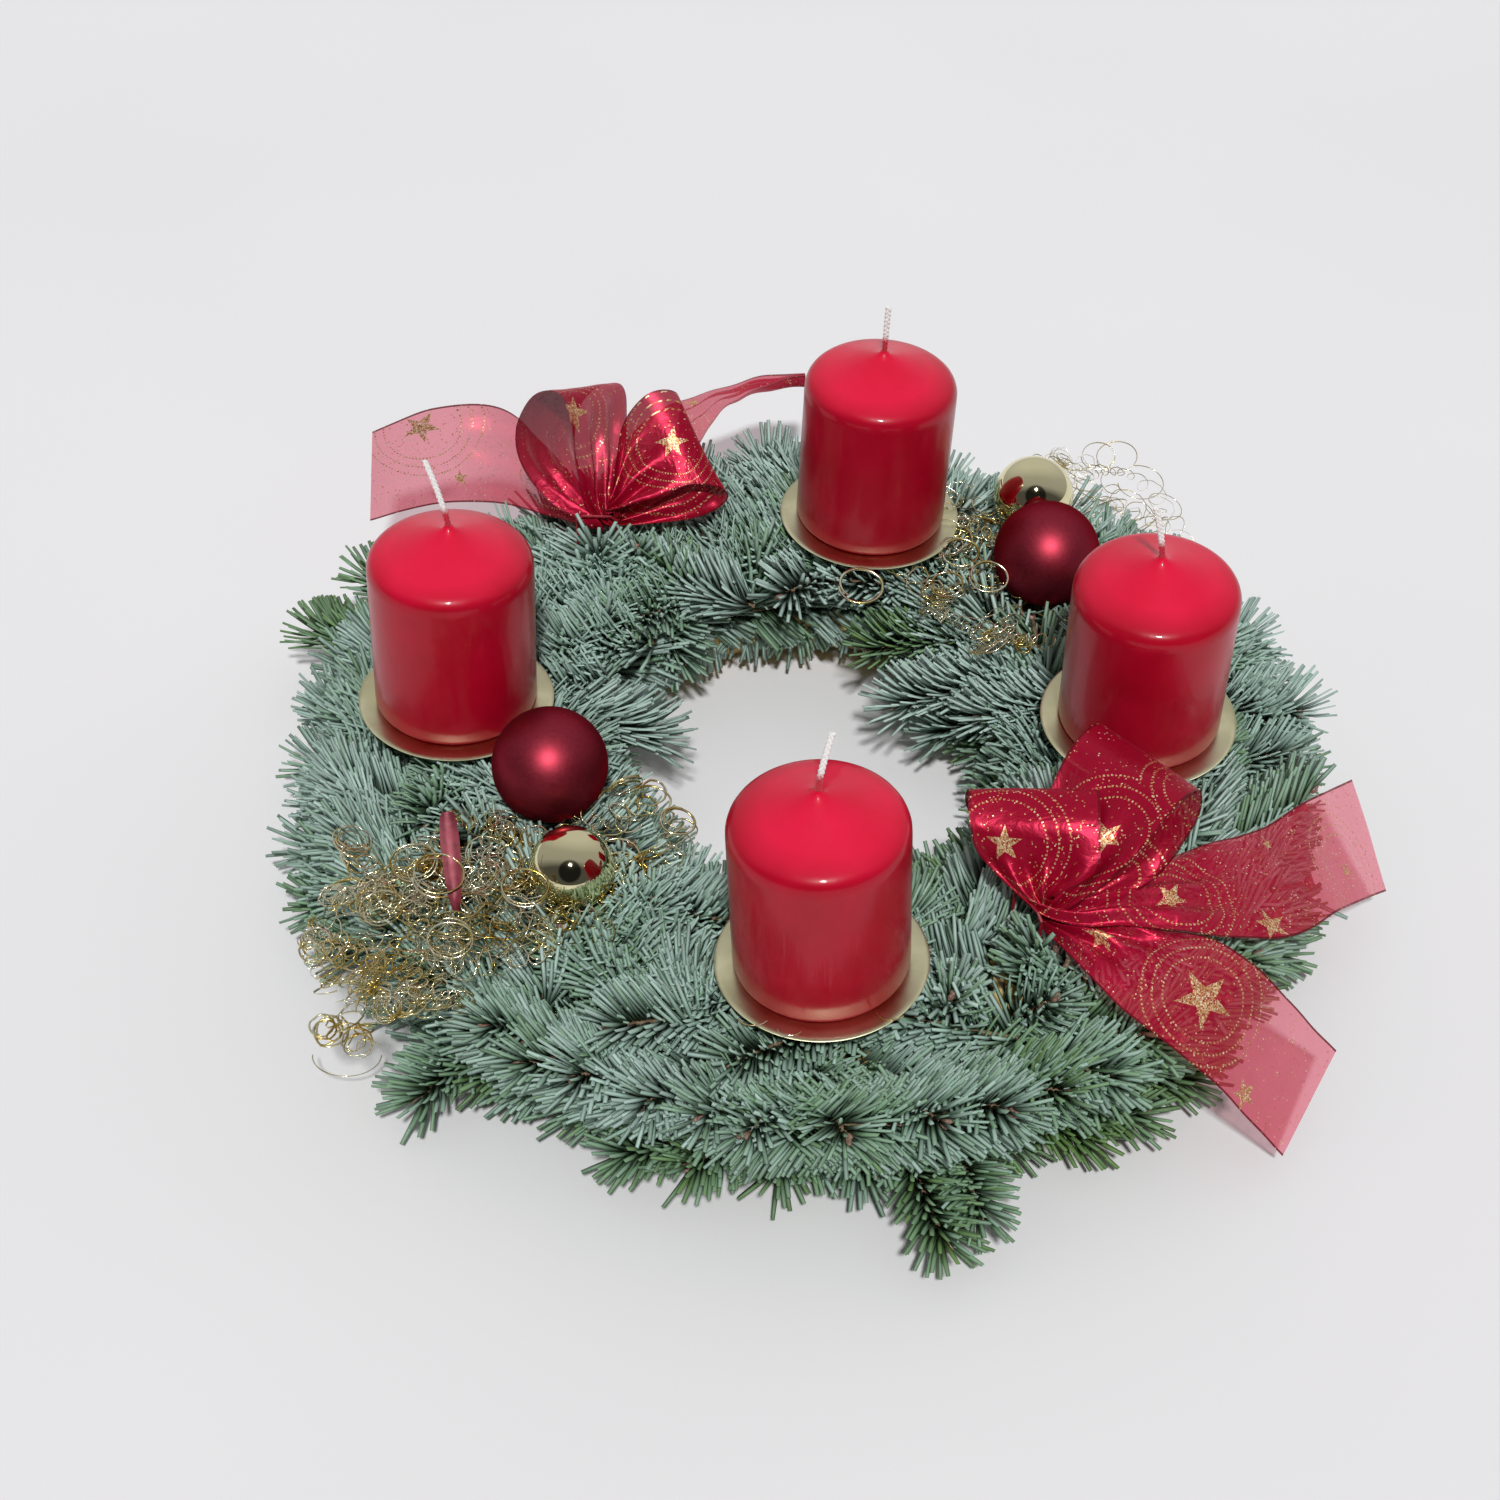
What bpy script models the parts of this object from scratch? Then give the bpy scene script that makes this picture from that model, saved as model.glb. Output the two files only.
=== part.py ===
"""Advent wreath: a straw ring bound with noble fir, four red candles on spiked gold saucers,
glass baubles, two ribbon bows and two tufts of gold angel hair.

The ring's underside lies on z = 0. Everything hangs on one empty, "wreath", which stands at the
middle of the ring, so the origin lies under the middle of the whole object.
"""

import math

import bmesh
import bpy
from mathutils import Vector

# Driving dimensions, in metres
GAP = 0.0003                     # left between pieces that touch
RING_PLACE = (0.0013, -0.0125, 0.0)

# Straw ring: a tube pressed flat underneath
RING_RADIUS = 0.125
RING_HALF_WIDTH = 0.025
RING_HALF_HEIGHT = 0.0235
RING_MIDDLE_Z = 0.0215
RING_TOP = RING_MIDDLE_Z + RING_HALF_HEIGHT
SECTION_POINTS = 16
RING_STEPS = 48

# Binding wire
WIRE_RADIUS = 0.00035
WIRE_OFF = WIRE_RADIUS + GAP     # of the wire's middle from the straw
WIRE_TURNS = 8
WIRE_START = 2                   # degrees round the ring, so that it passes between spikes and stems
WIRE_LOWEST = 0.0007
WIRE_SLOT = (0.040, 0.0015, 0.0104)   # cut in the underside: across the ring, wide, twice its depth

# Candles, saucers and their spikes, each unit measured from the top of its saucer
SAUCER_LEVEL = 0.066
CANDLE_RADIUS = 0.030
CANDLE_TIP = 0.0773
FOOT_ROUND = 0.0020
SAUCER_RADIUS = 0.0364
SAUCER_THICKNESS = 0.0008
SPIKE_RADIUS = 0.0012
SPIKE_UP = 0.020
SPIKE_DOWN = 0.046
SPIKE_POINT = 0.004
FLANGE_RADIUS = 0.004
FLANGE_THICKNESS = 0.0008
WICK_RADIUS = 0.0008
CANDLE_STEPS = 20
CANDLES = {
    # place round the ring's middle, lean towards +X and +Y in degrees, top of the wick from its foot
    "front": ((-0.0014, -0.1242), (-2.8, -0.1), (0.0050, 0.0048, 0.0210)),
    "left": ((-0.1368, 0.0041), (1.6, 1.9), (-0.0080, 0.0070, 0.0235)),
    "back": ((0.0204, 0.1204), (1.6, 0.2), (0.0002, 0.0025, 0.0195)),
    "right": ((0.1178, -0.0003), (-1.0, -2.6), (-0.0040, 0.0035, 0.0205)),
}

# Baubles: blown glass with a short open neck, each stuck into the straw on a wire
GLASS = 0.0009
NECK_RADIUS = 0.0026
NECK_LENGTH = 0.0028
NECK_HOLE = 0.0014
STEM_RADIUS = 0.0006
STEM_IN_NECK = 0.0050
BALL_STEPS = 14
BALL_RINGS = 7
BAUBLES = {
    # radius, middle, and the point in the straw that its stem goes to
    "red_bauble_left": (0.0210, (-0.0985, -0.0392, 0.0725), (-0.1010, -0.0400, 0.014)),
    "gold_bauble_left": (0.0150, (-0.0881, -0.0845, 0.0660), (-0.0881, -0.0845, 0.014)),
    "red_bauble_right": (0.0210, (0.0899, 0.0881, 0.0720), (0.0899, 0.0881, 0.014)),
    "gold_bauble_right": (0.0163, (0.0877, 0.1285, 0.0700), (0.0790, 0.1120, 0.020)),
}

# Noble fir, tied on in three rows of bunches. Angles in degrees, reach from the ring's middle.
OUTER_WALL = RING_RADIUS + RING_HALF_WIDTH + 2 * WIRE_OFF + GAP
INNER_WALL = RING_RADIUS - RING_HALF_WIDTH - 2 * WIRE_OFF - GAP
CROWN_FLOOR = RING_TOP + 2 * WIRE_OFF
OUTER_REACH = {
    12: 0.206, 42: 0.204, 72: 0.203, 102: 0.203, 132: 0.205, 162: 0.224,
    192: 0.210, 222: 0.206, 252: 0.205, 282: 0.215, 312: 0.200, 342: 0.199,
}
INNER_REACH = {0: 0.058, 60: 0.049, 120: 0.068, 180: 0.059, 240: 0.062, 300: 0.060}
OUTER_MIDDLE = (0.158, 0.0225)   # of a bunch: distance from the ring's middle, and height
OUTER_HALF = (0.062, 0.028)      # along the ring, and up
CROWN_MIDDLE = (RING_RADIUS, 0.045)
CROWN_HALF = (0.034, 0.085, 0.0203)
CROWN_COUNT = 8
INNER_MIDDLE = (0.100, 0.0240)
INNER_HALF = (0.075, 0.028)
FIR_LOWEST = 0.0010
BUNCH_SEGMENTS = 10
BUNCH_RINGS = 7
BUNCH_STEP = 7.5                 # degrees between the lines that let a bunch bend round the ring

# Ribbon bows. A station is its middle, its direction across and its width, all in millimetres.
RIBBON_THICKNESS = 0.0005
RIBBON_WIDTH = 44
PINCH = 9
ROWS_PER_STATION = 2
BOW_FRONT = [
    ((168, -143, 17), (0.47, 0.84, 0.28), RIBBON_WIDTH),
    ((141, -137, 47), (0.61, 0.76, 0.20), RIBBON_WIDTH),
    ((115, -125, 63), (0.81, 0.58, 0.08), RIBBON_WIDTH),
    ((96, -114, 66.5), (0.84, 0.52, 0.08), 28),
    ((75, -104, 67.5), (0.70, -0.70, 0.05), PINCH),
    ((97, -83, 76), (0.68, -0.73, 0.03), 36),
    ((111, -65, 88), (0.68, -0.73, 0.03), RIBBON_WIDTH),
    ((112, -60, 101), (0.72, -0.69, 0.00), RIBBON_WIDTH),
    ((102, -72, 105), (0.72, -0.69, 0.00), RIBBON_WIDTH),
    ((88, -90, 93), (0.70, -0.71, 0.00), 38),
    ((75, -104, 70.5), (0.80, -0.60, 0.00), PINCH),
    ((72, -84, 78), (0.99, -0.10, 0.05), 34),
    ((70, -73, 91), (0.99, -0.05, 0.09), RIBBON_WIDTH),
    ((70, -77, 101), (0.99, -0.05, 0.09), RIBBON_WIDTH),
    ((70, -89, 96), (0.98, -0.13, 0.10), RIBBON_WIDTH),
    ((72, -98, 84), (0.96, -0.24, 0.10), 38),
    ((76, -105, 73.5), (0.30, 0.95, 0.00), PINCH),
    ((105, -98, 72), (0.04, 0.99, 0.00), 27),
    ((132, -90, 67), (0.00, 1.00, 0.05), 40),
    ((160, -76, 57), (-0.17, 0.96, 0.24), RIBBON_WIDTH),
    ((181, -54, 48), (-0.20, 0.92, 0.33), RIBBON_WIDTH),
    ((207, -23, 28), (-0.23, 0.78, 0.58), RIBBON_WIDTH),
]
BOW_BACK = [
    ((-189, 156, 53), (0.08, 0.24, 0.97), 40),
    ((-163, 160, 61), (0.03, 0.37, 0.93), 42),
    ((-134, 155, 66), (-0.01, 0.60, 0.80), 40),
    ((-110, 135, 68), (-0.20, 0.85, 0.49), 34),
    ((-87, 108, 67.5), (0.50, 0.85, 0.00), PINCH),
    ((-107, 127, 80), (0.50, 0.70, -0.30), 34),
    ((-112, 138, 95), (0.55, 0.72, -0.35), 40),
    ((-104, 142, 108), (0.55, 0.72, -0.35), 40),
    ((-93, 140, 110), (0.55, 0.72, -0.35), 40),
    ((-90, 129, 96), (0.55, 0.75, -0.30), 34),
    ((-86, 107, 70.5), (1.00, 0.00, 0.00), PINCH),
    ((-66, 118, 76), (-0.50, 0.72, 0.35), 30),
    ((-50, 126, 84), (-0.45, 0.62, 0.60), 38),
    ((-49, 127, 95), (-0.45, 0.62, 0.60), RIBBON_WIDTH),
    ((-62, 124, 98), (-0.45, 0.62, 0.60), 40),
    ((-75, 118, 88), (-0.40, 0.75, 0.45), 30),
    ((-85, 108, 73.5), (0.90, -0.40, 0.00), PINCH),
    ((-68, 152, 71), (0.80, -0.50, 0.10), 30),
    ((-48, 190, 68), (0.40, -0.80, 0.40), 40),
    ((-27, 216, 61), (0.10, -0.85, 0.50), 36),
    ((-5, 228, 56), (0.00, -0.85, 0.50), 16),
]

# Greening pins: the crown's middle, half the span across it, and how deep the legs go
PIN_RADIUS = 0.0006
PIN_DEPTH = 0.020
PINS = {
    "bow_pin_front": ((0.0690, -0.1040, 0.0735), (-0.0040, 0.0069)),
    "bow_pin_back": ((-0.0900, 0.1050, 0.0735), (-0.0080, 0.0)),
}

# Angel hair tufts: angle, distance and height of the middle, and half their size
TUFTS = {
    "angel_hair_left": (-143, 0.168, 0.0560, (0.032, 0.052, 0.0100)),
    "angel_hair_right": (42, 0.178, 0.0500, (0.026, 0.045, 0.0110)),
}

# Foil strip: foot, tip, half its width and thickness
STRIP_FOOT = (-0.1259, -0.1062, 0.0657)
STRIP_TIP = (-0.1302, -0.0800, 0.0880)
STRIP_HALF_WIDTH = 0.0038
STRIP_THICKNESS = 0.0006

# Colours of the materials: colour, roughness, metallic
STRAW = ("straw", (0.55, 0.42, 0.20), 0.9, 0.0)
GREEN_WIRE = ("green_wire", (0.03, 0.08, 0.04), 0.5, 0.6)
FIR = ("noble_fir", (0.16, 0.24, 0.20), 0.6, 0.0)
RED_WAX = ("red_wax", (0.45, 0.01, 0.03), 0.3, 0.0)
COTTON = ("cotton", (0.80, 0.78, 0.74), 0.9, 0.0)
BRASS = ("brass", (0.60, 0.52, 0.27), 0.3, 1.0)
STEEL = ("steel", (0.45, 0.45, 0.46), 0.4, 1.0)
RED_GLASS = ("red_glass", (0.30, 0.01, 0.04), 0.4, 0.6)
GOLD_GLASS = ("gold_glass", (0.75, 0.65, 0.33), 0.05, 1.0)
ORGANZA = ("organza", (0.55, 0.02, 0.07), 0.5, 0.0)
ANGEL_HAIR = ("angel_hair", (0.70, 0.52, 0.18), 0.3, 1.0)
RED_FOIL = ("red_foil", (0.40, 0.03, 0.06), 0.4, 0.0)


def clear_scene():
    for thing in list(bpy.data.objects):
        bpy.data.objects.remove(thing)


def new_collection(name):
    collection = bpy.data.collections.new(name)
    bpy.context.scene.collection.children.link(collection)
    return collection


def material(finish):
    name, colour, roughness, metallic = finish
    found = bpy.data.materials.get(name)
    if found:
        return found
    made = bpy.data.materials.new(name)
    made.use_nodes = True
    shader = made.node_tree.nodes["Principled BSDF"]
    shader.inputs["Base Color"].default_value = (*colour, 1)
    shader.inputs["Roughness"].default_value = roughness
    shader.inputs["Metallic"].default_value = metallic
    return made


def empty(name, parent=None, place=(0, 0, 0), turn=(0, 0, 0)):
    holder = bpy.data.objects.new(name, None)
    holder.parent = parent
    holder.location = place
    holder.rotation_euler = turn
    part_collection.objects.link(holder)
    return holder


def add(name, data, parent, finish=None):
    """A named object in the part's collection, or a cutter if it has no finish."""
    made = bpy.data.objects.new(name, data)
    made.parent = parent
    if finish:
        data.materials.append(material(finish))
        part_collection.objects.link(made)
    else:
        made.hide_render = True
        made.display_type = "WIRE"
        cutter_collection.objects.link(made)
    return made


def turned(name, profile, steps, parent, finish=None, closed=False):
    """A profile of (radius, height) points turned about Z, its outer side from top to bottom."""
    shape = bmesh.new()
    points = [shape.verts.new((radius, 0, height)) for radius, height in profile]
    for start, end in zip(points, points[1:]):
        shape.edges.new((start, end))
    if closed:
        shape.edges.new((points[-1], points[0]))
    mesh = bpy.data.meshes.new(name)
    shape.to_mesh(mesh)
    shape.free()
    made = add(name, mesh, parent, finish)
    screw = made.modifiers.new("Screw", "SCREW")
    screw.steps = steps
    screw.render_steps = steps
    screw.use_merge_vertices = True
    screw.merge_threshold = 0.00001
    return made


def tube(name, points, radius, parent, finish, sides=1, closed=False):
    """A round wire along straight runs, with filled ends."""
    curve = bpy.data.curves.new(name, "CURVE")
    curve.dimensions = "3D"
    curve.bevel_depth = radius
    curve.bevel_resolution = sides
    curve.use_fill_caps = not closed
    spline = curve.splines.new("POLY")
    spline.points.add(len(points) - 1)
    for knot, point in zip(spline.points, points):
        knot.co = (*point, 1)
    spline.use_cyclic_u = closed
    return add(name, curve, parent, finish)


def cut(made, cutter):
    difference = made.modifiers.new(cutter.name, "BOOLEAN")
    difference.operation = "DIFFERENCE"
    difference.object = cutter


def arc(middle, radius, first, last, count):
    """Points of an arc in the (radius, height) plane, from angle first to last in degrees."""
    turns = [math.radians(first + (last - first) * step / count) for step in range(count + 1)]
    return [(middle[0] + radius * math.cos(a), middle[1] + radius * math.sin(a)) for a in turns]


def section_angle(step):
    return 2 * math.pi * step / SECTION_POINTS


def straw_ring(wreath):
    profile = []
    for step in range(SECTION_POINTS):
        angle = -section_angle(step)
        height = RING_MIDDLE_Z + RING_HALF_HEIGHT * math.sin(angle)
        profile.append((RING_RADIUS + RING_HALF_WIDTH * math.cos(angle), max(0.0, height)))
    return turned("straw_ring", profile, RING_STEPS, wreath, STRAW, closed=True)


def binding_wire(wreath, ring):
    """Runs under the ring in slots that it presses into the straw, and steps on over the crown."""
    points = []
    for turn in range(WIRE_TURNS):
        for step in range(SECTION_POINTS):
            section = section_angle(step)
            across = (RING_HALF_WIDTH + WIRE_OFF) * math.cos(section)
            height = RING_MIDDLE_Z + (RING_HALF_HEIGHT + WIRE_OFF) * math.sin(section)
            over_crown = min(1.0, step / (SECTION_POINTS / 2))
            angle = 2 * math.pi * (turn + over_crown) / WIRE_TURNS + math.radians(WIRE_START)
            radius = RING_RADIUS + across
            points.append((radius * math.cos(angle), radius * math.sin(angle), max(WIRE_LOWEST, height)))
    tube("binding_wire", points, WIRE_RADIUS, wreath, GREEN_WIRE, closed=True)
    slots = bmesh.new()
    for turn in range(WIRE_TURNS):
        angle = 2 * math.pi * (turn + 1) / WIRE_TURNS + math.radians(WIRE_START)
        made = bmesh.ops.create_cube(slots, size=1)["verts"]
        for corner in made:
            along = RING_RADIUS + corner.co.x * WIRE_SLOT[0]
            aside = corner.co.y * WIRE_SLOT[1]
            corner.co = (
                along * math.cos(angle) - aside * math.sin(angle),
                along * math.sin(angle) + aside * math.cos(angle),
                corner.co.z * WIRE_SLOT[2],
            )
    mesh = bpy.data.meshes.new("wire_slots")
    slots.to_mesh(mesh)
    slots.free()
    cut(ring, add("wire_slots", mesh, wreath))


def candle_profile():
    wick_hole = WICK_RADIUS + GAP
    spike_hole = SPIKE_RADIUS + GAP
    cone = [(0.0030, CANDLE_TIP - 0.0008), (0.0110, 0.0731), (0.0210, 0.0687), (0.0268, 0.0664)]
    shoulder = arc((CANDLE_RADIUS - 0.0034, 0.0630), 0.0034, 68, 0, 3)
    foot = arc((CANDLE_RADIUS - FOOT_ROUND, FOOT_ROUND + GAP), FOOT_ROUND, 0, -90, 2)
    bore = [(spike_hole, GAP), (spike_hole, SPIKE_UP + GAP), (wick_hole, SPIKE_UP + GAP)]
    return [(wick_hole, CANDLE_TIP), *cone, *shoulder, *foot, *bore]


def spike_profile():
    top_of_flange = -SAUCER_THICKNESS - GAP
    bottom_of_flange = top_of_flange - FLANGE_THICKNESS
    return [
        (0.0, SPIKE_UP), (SPIKE_RADIUS, SPIKE_UP - SPIKE_POINT), (SPIKE_RADIUS, top_of_flange),
        (FLANGE_RADIUS, top_of_flange), (FLANGE_RADIUS, bottom_of_flange), (SPIKE_RADIUS, bottom_of_flange),
        (SPIKE_RADIUS, -SPIKE_DOWN + SPIKE_POINT), (0.0, -SPIKE_DOWN),
    ]


def saucer_profile():
    hole = SPIKE_RADIUS + GAP
    return [
        (hole, 0.0), (SAUCER_RADIUS - 0.0004, 0.0), (SAUCER_RADIUS, -0.0004),
        (SAUCER_RADIUS - 0.0004, -SAUCER_THICKNESS), (hole, -SAUCER_THICKNESS),
    ]


def saucer_clearance(name, unit):
    """What a saucer, its flange and its spike need clear of fir and straw."""
    flange_floor = -SAUCER_THICKNESS - 2 * GAP - FLANGE_THICKNESS
    shaft = SPIKE_RADIUS + GAP
    profile = [
        (0.0, 0.050), (SAUCER_RADIUS + GAP, 0.050), (SAUCER_RADIUS + GAP, -SAUCER_THICKNESS - GAP),
        (FLANGE_RADIUS + GAP, -SAUCER_THICKNESS - GAP), (FLANGE_RADIUS + GAP, flange_floor),
        (shaft, flange_floor), (shaft, -SPIKE_DOWN - GAP), (0.0, -SPIKE_DOWN - GAP),
    ]
    return turned(name, profile, CANDLE_STEPS, unit)


def wick_points(top):
    foot = Vector((0, 0, CANDLE_TIP))
    bend = []
    for share in (0.3, 0.65, 1):
        bend.append(foot + Vector((top[0] * share**1.4, top[1] * share**1.4, top[2] * share)))
    return [(0, 0, SPIKE_UP + 0.001), (0, 0, CANDLE_TIP + 0.001), *bend]


def candle_unit(side, wreath):
    (x, y), (lean_x, lean_y), wick_top = CANDLES[side]
    turn = (math.radians(-lean_y), math.radians(lean_x), 0)
    unit = empty("unit_" + side, wreath, (x, y, SAUCER_LEVEL), turn)
    turned("candle_" + side, candle_profile(), CANDLE_STEPS, unit, RED_WAX, closed=True)
    tube("wick_" + side, wick_points(wick_top), WICK_RADIUS, unit, COTTON)
    turned("candle_plate_" + side, saucer_profile(), CANDLE_STEPS + 8, unit, BRASS, closed=True)
    turned("plate_spike_" + side, spike_profile(), 8, unit, STEEL)
    return saucer_clearance("saucer_room_" + side, unit)


def ball_profile(radius, room=0.0):
    """The blown shell with its neck, or with room given the solid space that it takes."""
    outer = radius + room
    neck = NECK_RADIUS + room
    mouth = -radius - NECK_LENGTH - room
    lowest = -math.degrees(math.acos(neck / outer))
    profile = arc((0, 0), outer, 90, lowest, BALL_RINGS) + [(neck, mouth)]
    if room:
        profile = profile + [(0.0, mouth)]
    else:
        inner = radius - GLASS
        inner_lowest = -math.degrees(math.acos(NECK_HOLE / inner))
        profile = profile + [(NECK_HOLE, mouth)] + arc((0, 0), inner, inner_lowest, 90, BALL_RINGS)
        profile[-1] = (0.0, inner)
    profile[0] = (0.0, outer)
    return profile


def bauble(name, wreath, ring):
    radius, middle, root = BAUBLES[name]
    finish = RED_GLASS if name.startswith("red") else GOLD_GLASS
    downwards = Vector(root) - Vector(middle)
    unit = empty("unit_" + name, wreath, middle, downwards.to_track_quat("-Z", "Y").to_euler())
    turned(name, ball_profile(radius), BALL_STEPS, unit, finish)
    top = -radius - NECK_LENGTH + STEM_IN_NECK
    stem = [(0, 0, top), (0, 0, -downwards.length)]
    tube("stem_" + name, stem, STEM_RADIUS, unit, STEEL)
    bore = STEM_RADIUS + GAP
    depth = -downwards.length - GAP
    stem_room = turned("stem_room_" + name, [(0, top), (bore, top), (bore, depth), (0, depth)], 8, unit)
    cut(ring, stem_room)
    return [turned("ball_room_" + name, ball_profile(radius, GAP), BALL_STEPS, unit), stem_room]


def bent_pad(name, wreath, place, half, slices, finish=None):
    """An ellipsoid sliced by planes, then bent round the ring.

    place is (angle, distance, height) of its middle, half its half sizes outwards, along and up.
    A slice is (point, normal) with outwards, along and up as its axes; what the normal points at goes.
    """
    angle, distance, height = place
    shape = bmesh.new()
    bmesh.ops.create_uvsphere(shape, u_segments=BUNCH_SEGMENTS, v_segments=BUNCH_RINGS, radius=1)
    for point in shape.verts:
        point.co = (distance + point.co.x * half[0], point.co.y * half[1], height + point.co.z * half[2])
    for start, normal in slices:
        everything = shape.verts[:] + shape.edges[:] + shape.faces[:]
        sliced = bmesh.ops.bisect_plane(
            shape, geom=everything, dist=1e-6, plane_co=start, plane_no=normal, clear_outer=True
        )
        rim = [part for part in sliced["geom_cut"] if isinstance(part, bmesh.types.BMEdge)]
        bmesh.ops.contextual_create(shape, geom=rim)
    step = math.radians(BUNCH_STEP) * distance
    lines = int(half[1] / step)
    for line in range(-lines, lines + 1):
        everything = shape.verts[:] + shape.edges[:] + shape.faces[:]
        bmesh.ops.bisect_plane(
            shape, geom=everything, dist=1e-6, plane_co=(0, line * step, 0), plane_no=(0, 1, 0)
        )
    for point in shape.verts:
        turn = math.radians(angle) + point.co.y / distance
        point.co = (point.co.x * math.cos(turn), point.co.x * math.sin(turn), point.co.z)
    bmesh.ops.recalc_face_normals(shape, faces=shape.faces)
    if shape.calc_volume(signed=True) < 0:
        bmesh.ops.reverse_faces(shape, faces=shape.faces)
    mesh = bpy.data.meshes.new(name)
    shape.to_mesh(mesh)
    shape.free()
    return add(name, mesh, wreath, finish)


def side_slices(distance, bunches):
    """The two planes that part a bunch from its neighbours in a row of that many."""
    aside = math.pi / bunches * distance - GAP
    return [((0, aside, 0), (0, 1, 0)), ((0, -aside, 0), (0, -1, 0))]


def fir_bunches(wreath):
    made = []
    floor = ((0, 0, FIR_LOWEST), (0, 0, -1))
    distance, height = OUTER_MIDDLE
    for number, (angle, reach) in enumerate(OUTER_REACH.items(), 1):
        slices = [((OUTER_WALL, 0, 0), (-1, 0, 0)), floor, *side_slices(distance, len(OUTER_REACH))]
        half = (reach - distance, *OUTER_HALF)
        made.append(bent_pad(f"fir_outer_{number:02d}", wreath, (angle, distance, height), half, slices, FIR))
    distance, height = CROWN_MIDDLE
    for number in range(CROWN_COUNT):
        angle = 360 * number / CROWN_COUNT
        slices = [
            ((OUTER_WALL - GAP, 0, 0), (1, 0, 0)), ((INNER_WALL + GAP, 0, 0), (-1, 0, 0)),
            ((0, 0, CROWN_FLOOR), (0, 0, -1)), *side_slices(distance, CROWN_COUNT),
        ]
        name = f"fir_top_{number + 1:02d}"
        made.append(bent_pad(name, wreath, (angle, distance, height), CROWN_HALF, slices, FIR))
    distance, height = INNER_MIDDLE
    for number, (angle, reach) in enumerate(INNER_REACH.items(), 1):
        slices = [((INNER_WALL, 0, 0), (1, 0, 0)), floor, *side_slices(distance, len(INNER_REACH))]
        half = (distance - reach, *INNER_HALF)
        made.append(bent_pad(f"fir_inner_{number:02d}", wreath, (angle, distance, height), half, slices, FIR))
    return made


def smooth_between(stations, rows):
    """Stations with rows - 1 more between each two, on a smooth line through them all."""
    out = []
    last = len(stations) - 1
    for index in range(last):
        before, start, end, after = (stations[min(max(index + step, 0), last)] for step in (-1, 0, 1, 2))
        for row in range(rows):
            t = row / rows
            out.append(0.5 * (2 * start + (end - before) * t
                              + (2 * before - 5 * start + 4 * end - after) * t**2
                              + (3 * start - before - 3 * end + after) * t**3))
    return out + [stations[last]]


def ribbon(name, stations, wreath):
    """One length of ribbon through its stations, a thin closed strip."""
    middles = smooth_between([Vector(middle) / 1000 for middle, across, width in stations], ROWS_PER_STATION)
    halves = [Vector(across).normalized() * width / 2000 for middle, across, width in stations]
    halves = smooth_between(halves, ROWS_PER_STATION)
    shape = bmesh.new()
    rows = []
    for middle, half in zip(middles, halves):
        rows.append([shape.verts.new(middle + half * side) for side in (-1, 0, 1)])
    for low, high in zip(rows, rows[1:]):
        for side in (0, 1):
            shape.faces.new((low[side], low[side + 1], high[side + 1], high[side]))
    mesh = bpy.data.meshes.new(name)
    shape.to_mesh(mesh)
    shape.free()
    made = add(name, mesh, wreath, ORGANZA)
    wall = made.modifiers.new("Solidify", "SOLIDIFY")
    wall.thickness = RIBBON_THICKNESS
    wall.offset = 0
    return made


def bow_pin(name, wreath, ring):
    (x, y, z), (half_x, half_y) = PINS[name]
    tip = RING_TOP - PIN_DEPTH
    left_leg = [(x - half_x, y - half_y, tip), (x - half_x, y - half_y, z - 0.002)]
    crown = [(x - 0.7 * half_x, y - 0.7 * half_y, z), (x + 0.7 * half_x, y + 0.7 * half_y, z)]
    right_leg = [(x + half_x, y + half_y, z - 0.002), (x + half_x, y + half_y, tip)]
    path = left_leg + crown + right_leg
    tube(name, path, PIN_RADIUS, wreath, STEEL)
    rooms = []
    for side in (-1, 1):
        bore = PIN_RADIUS + GAP
        leg = empty(f"unit_{name}_{side}", wreath, (x + side * half_x, y + side * half_y, 0))
        profile = [(0, z + 0.02), (bore, z + 0.02), (bore, tip - GAP), (0, tip - GAP)]
        room = turned(f"leg_room_{name}_{side}", profile, 8, leg)
        cut(ring, room)
        rooms.append(room)
    return rooms


def tuft(name, wreath):
    """The tangle of angel hair as one soft pad, and the room that it needs in the fir."""
    angle, distance, height, half = TUFTS[name]
    bent_pad(name, wreath, (angle, distance, height), half, [], ANGEL_HAIR)
    roomy = [size + 2 * GAP for size in half]
    return bent_pad("tuft_room_" + name, wreath, (angle, distance, height), roomy, [])


def foil_strip(wreath):
    """A leaf-shaped snip of foil, pointed at both ends."""
    foot, tip = Vector(STRIP_FOOT), Vector(STRIP_TIP)
    outline = bpy.data.curves.new("red_foil_strip", "CURVE")
    outline.dimensions = "2D"
    outline.fill_mode = "BOTH"
    outline.extrude = STRIP_THICKNESS / 2
    length = (tip - foot).length
    shares = [(0.02, 0.25), (0.2, 0.9), (0.6, 1.0), (0.85, 0.6), (0.99, 0.2)]
    right = [(STRIP_HALF_WIDTH * wide, length * along) for along, wide in shares]
    left = [(-across, along) for across, along in reversed(right)]
    spline = outline.splines.new("POLY")
    spline.points.add(len(right + left) - 1)
    for knot, (across, along) in zip(spline.points, right + left):
        knot.co = (across, along, 0, 1)
    spline.use_cyclic_u = True
    made = add("red_foil_strip", outline, wreath, RED_FOIL)
    made.location = foot
    made.rotation_euler = (tip - foot).to_track_quat("Y", "Z").to_euler()
    return made


def corners(thing):
    thing.update_tag()
    depsgraph = bpy.context.evaluated_depsgraph_get()
    box = thing.evaluated_get(depsgraph).bound_box
    points = [thing.matrix_world @ Vector(corner) for corner in box]
    return [[pick(point[axis] for point in points) for axis in range(3)] for pick in (min, max)]


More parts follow.
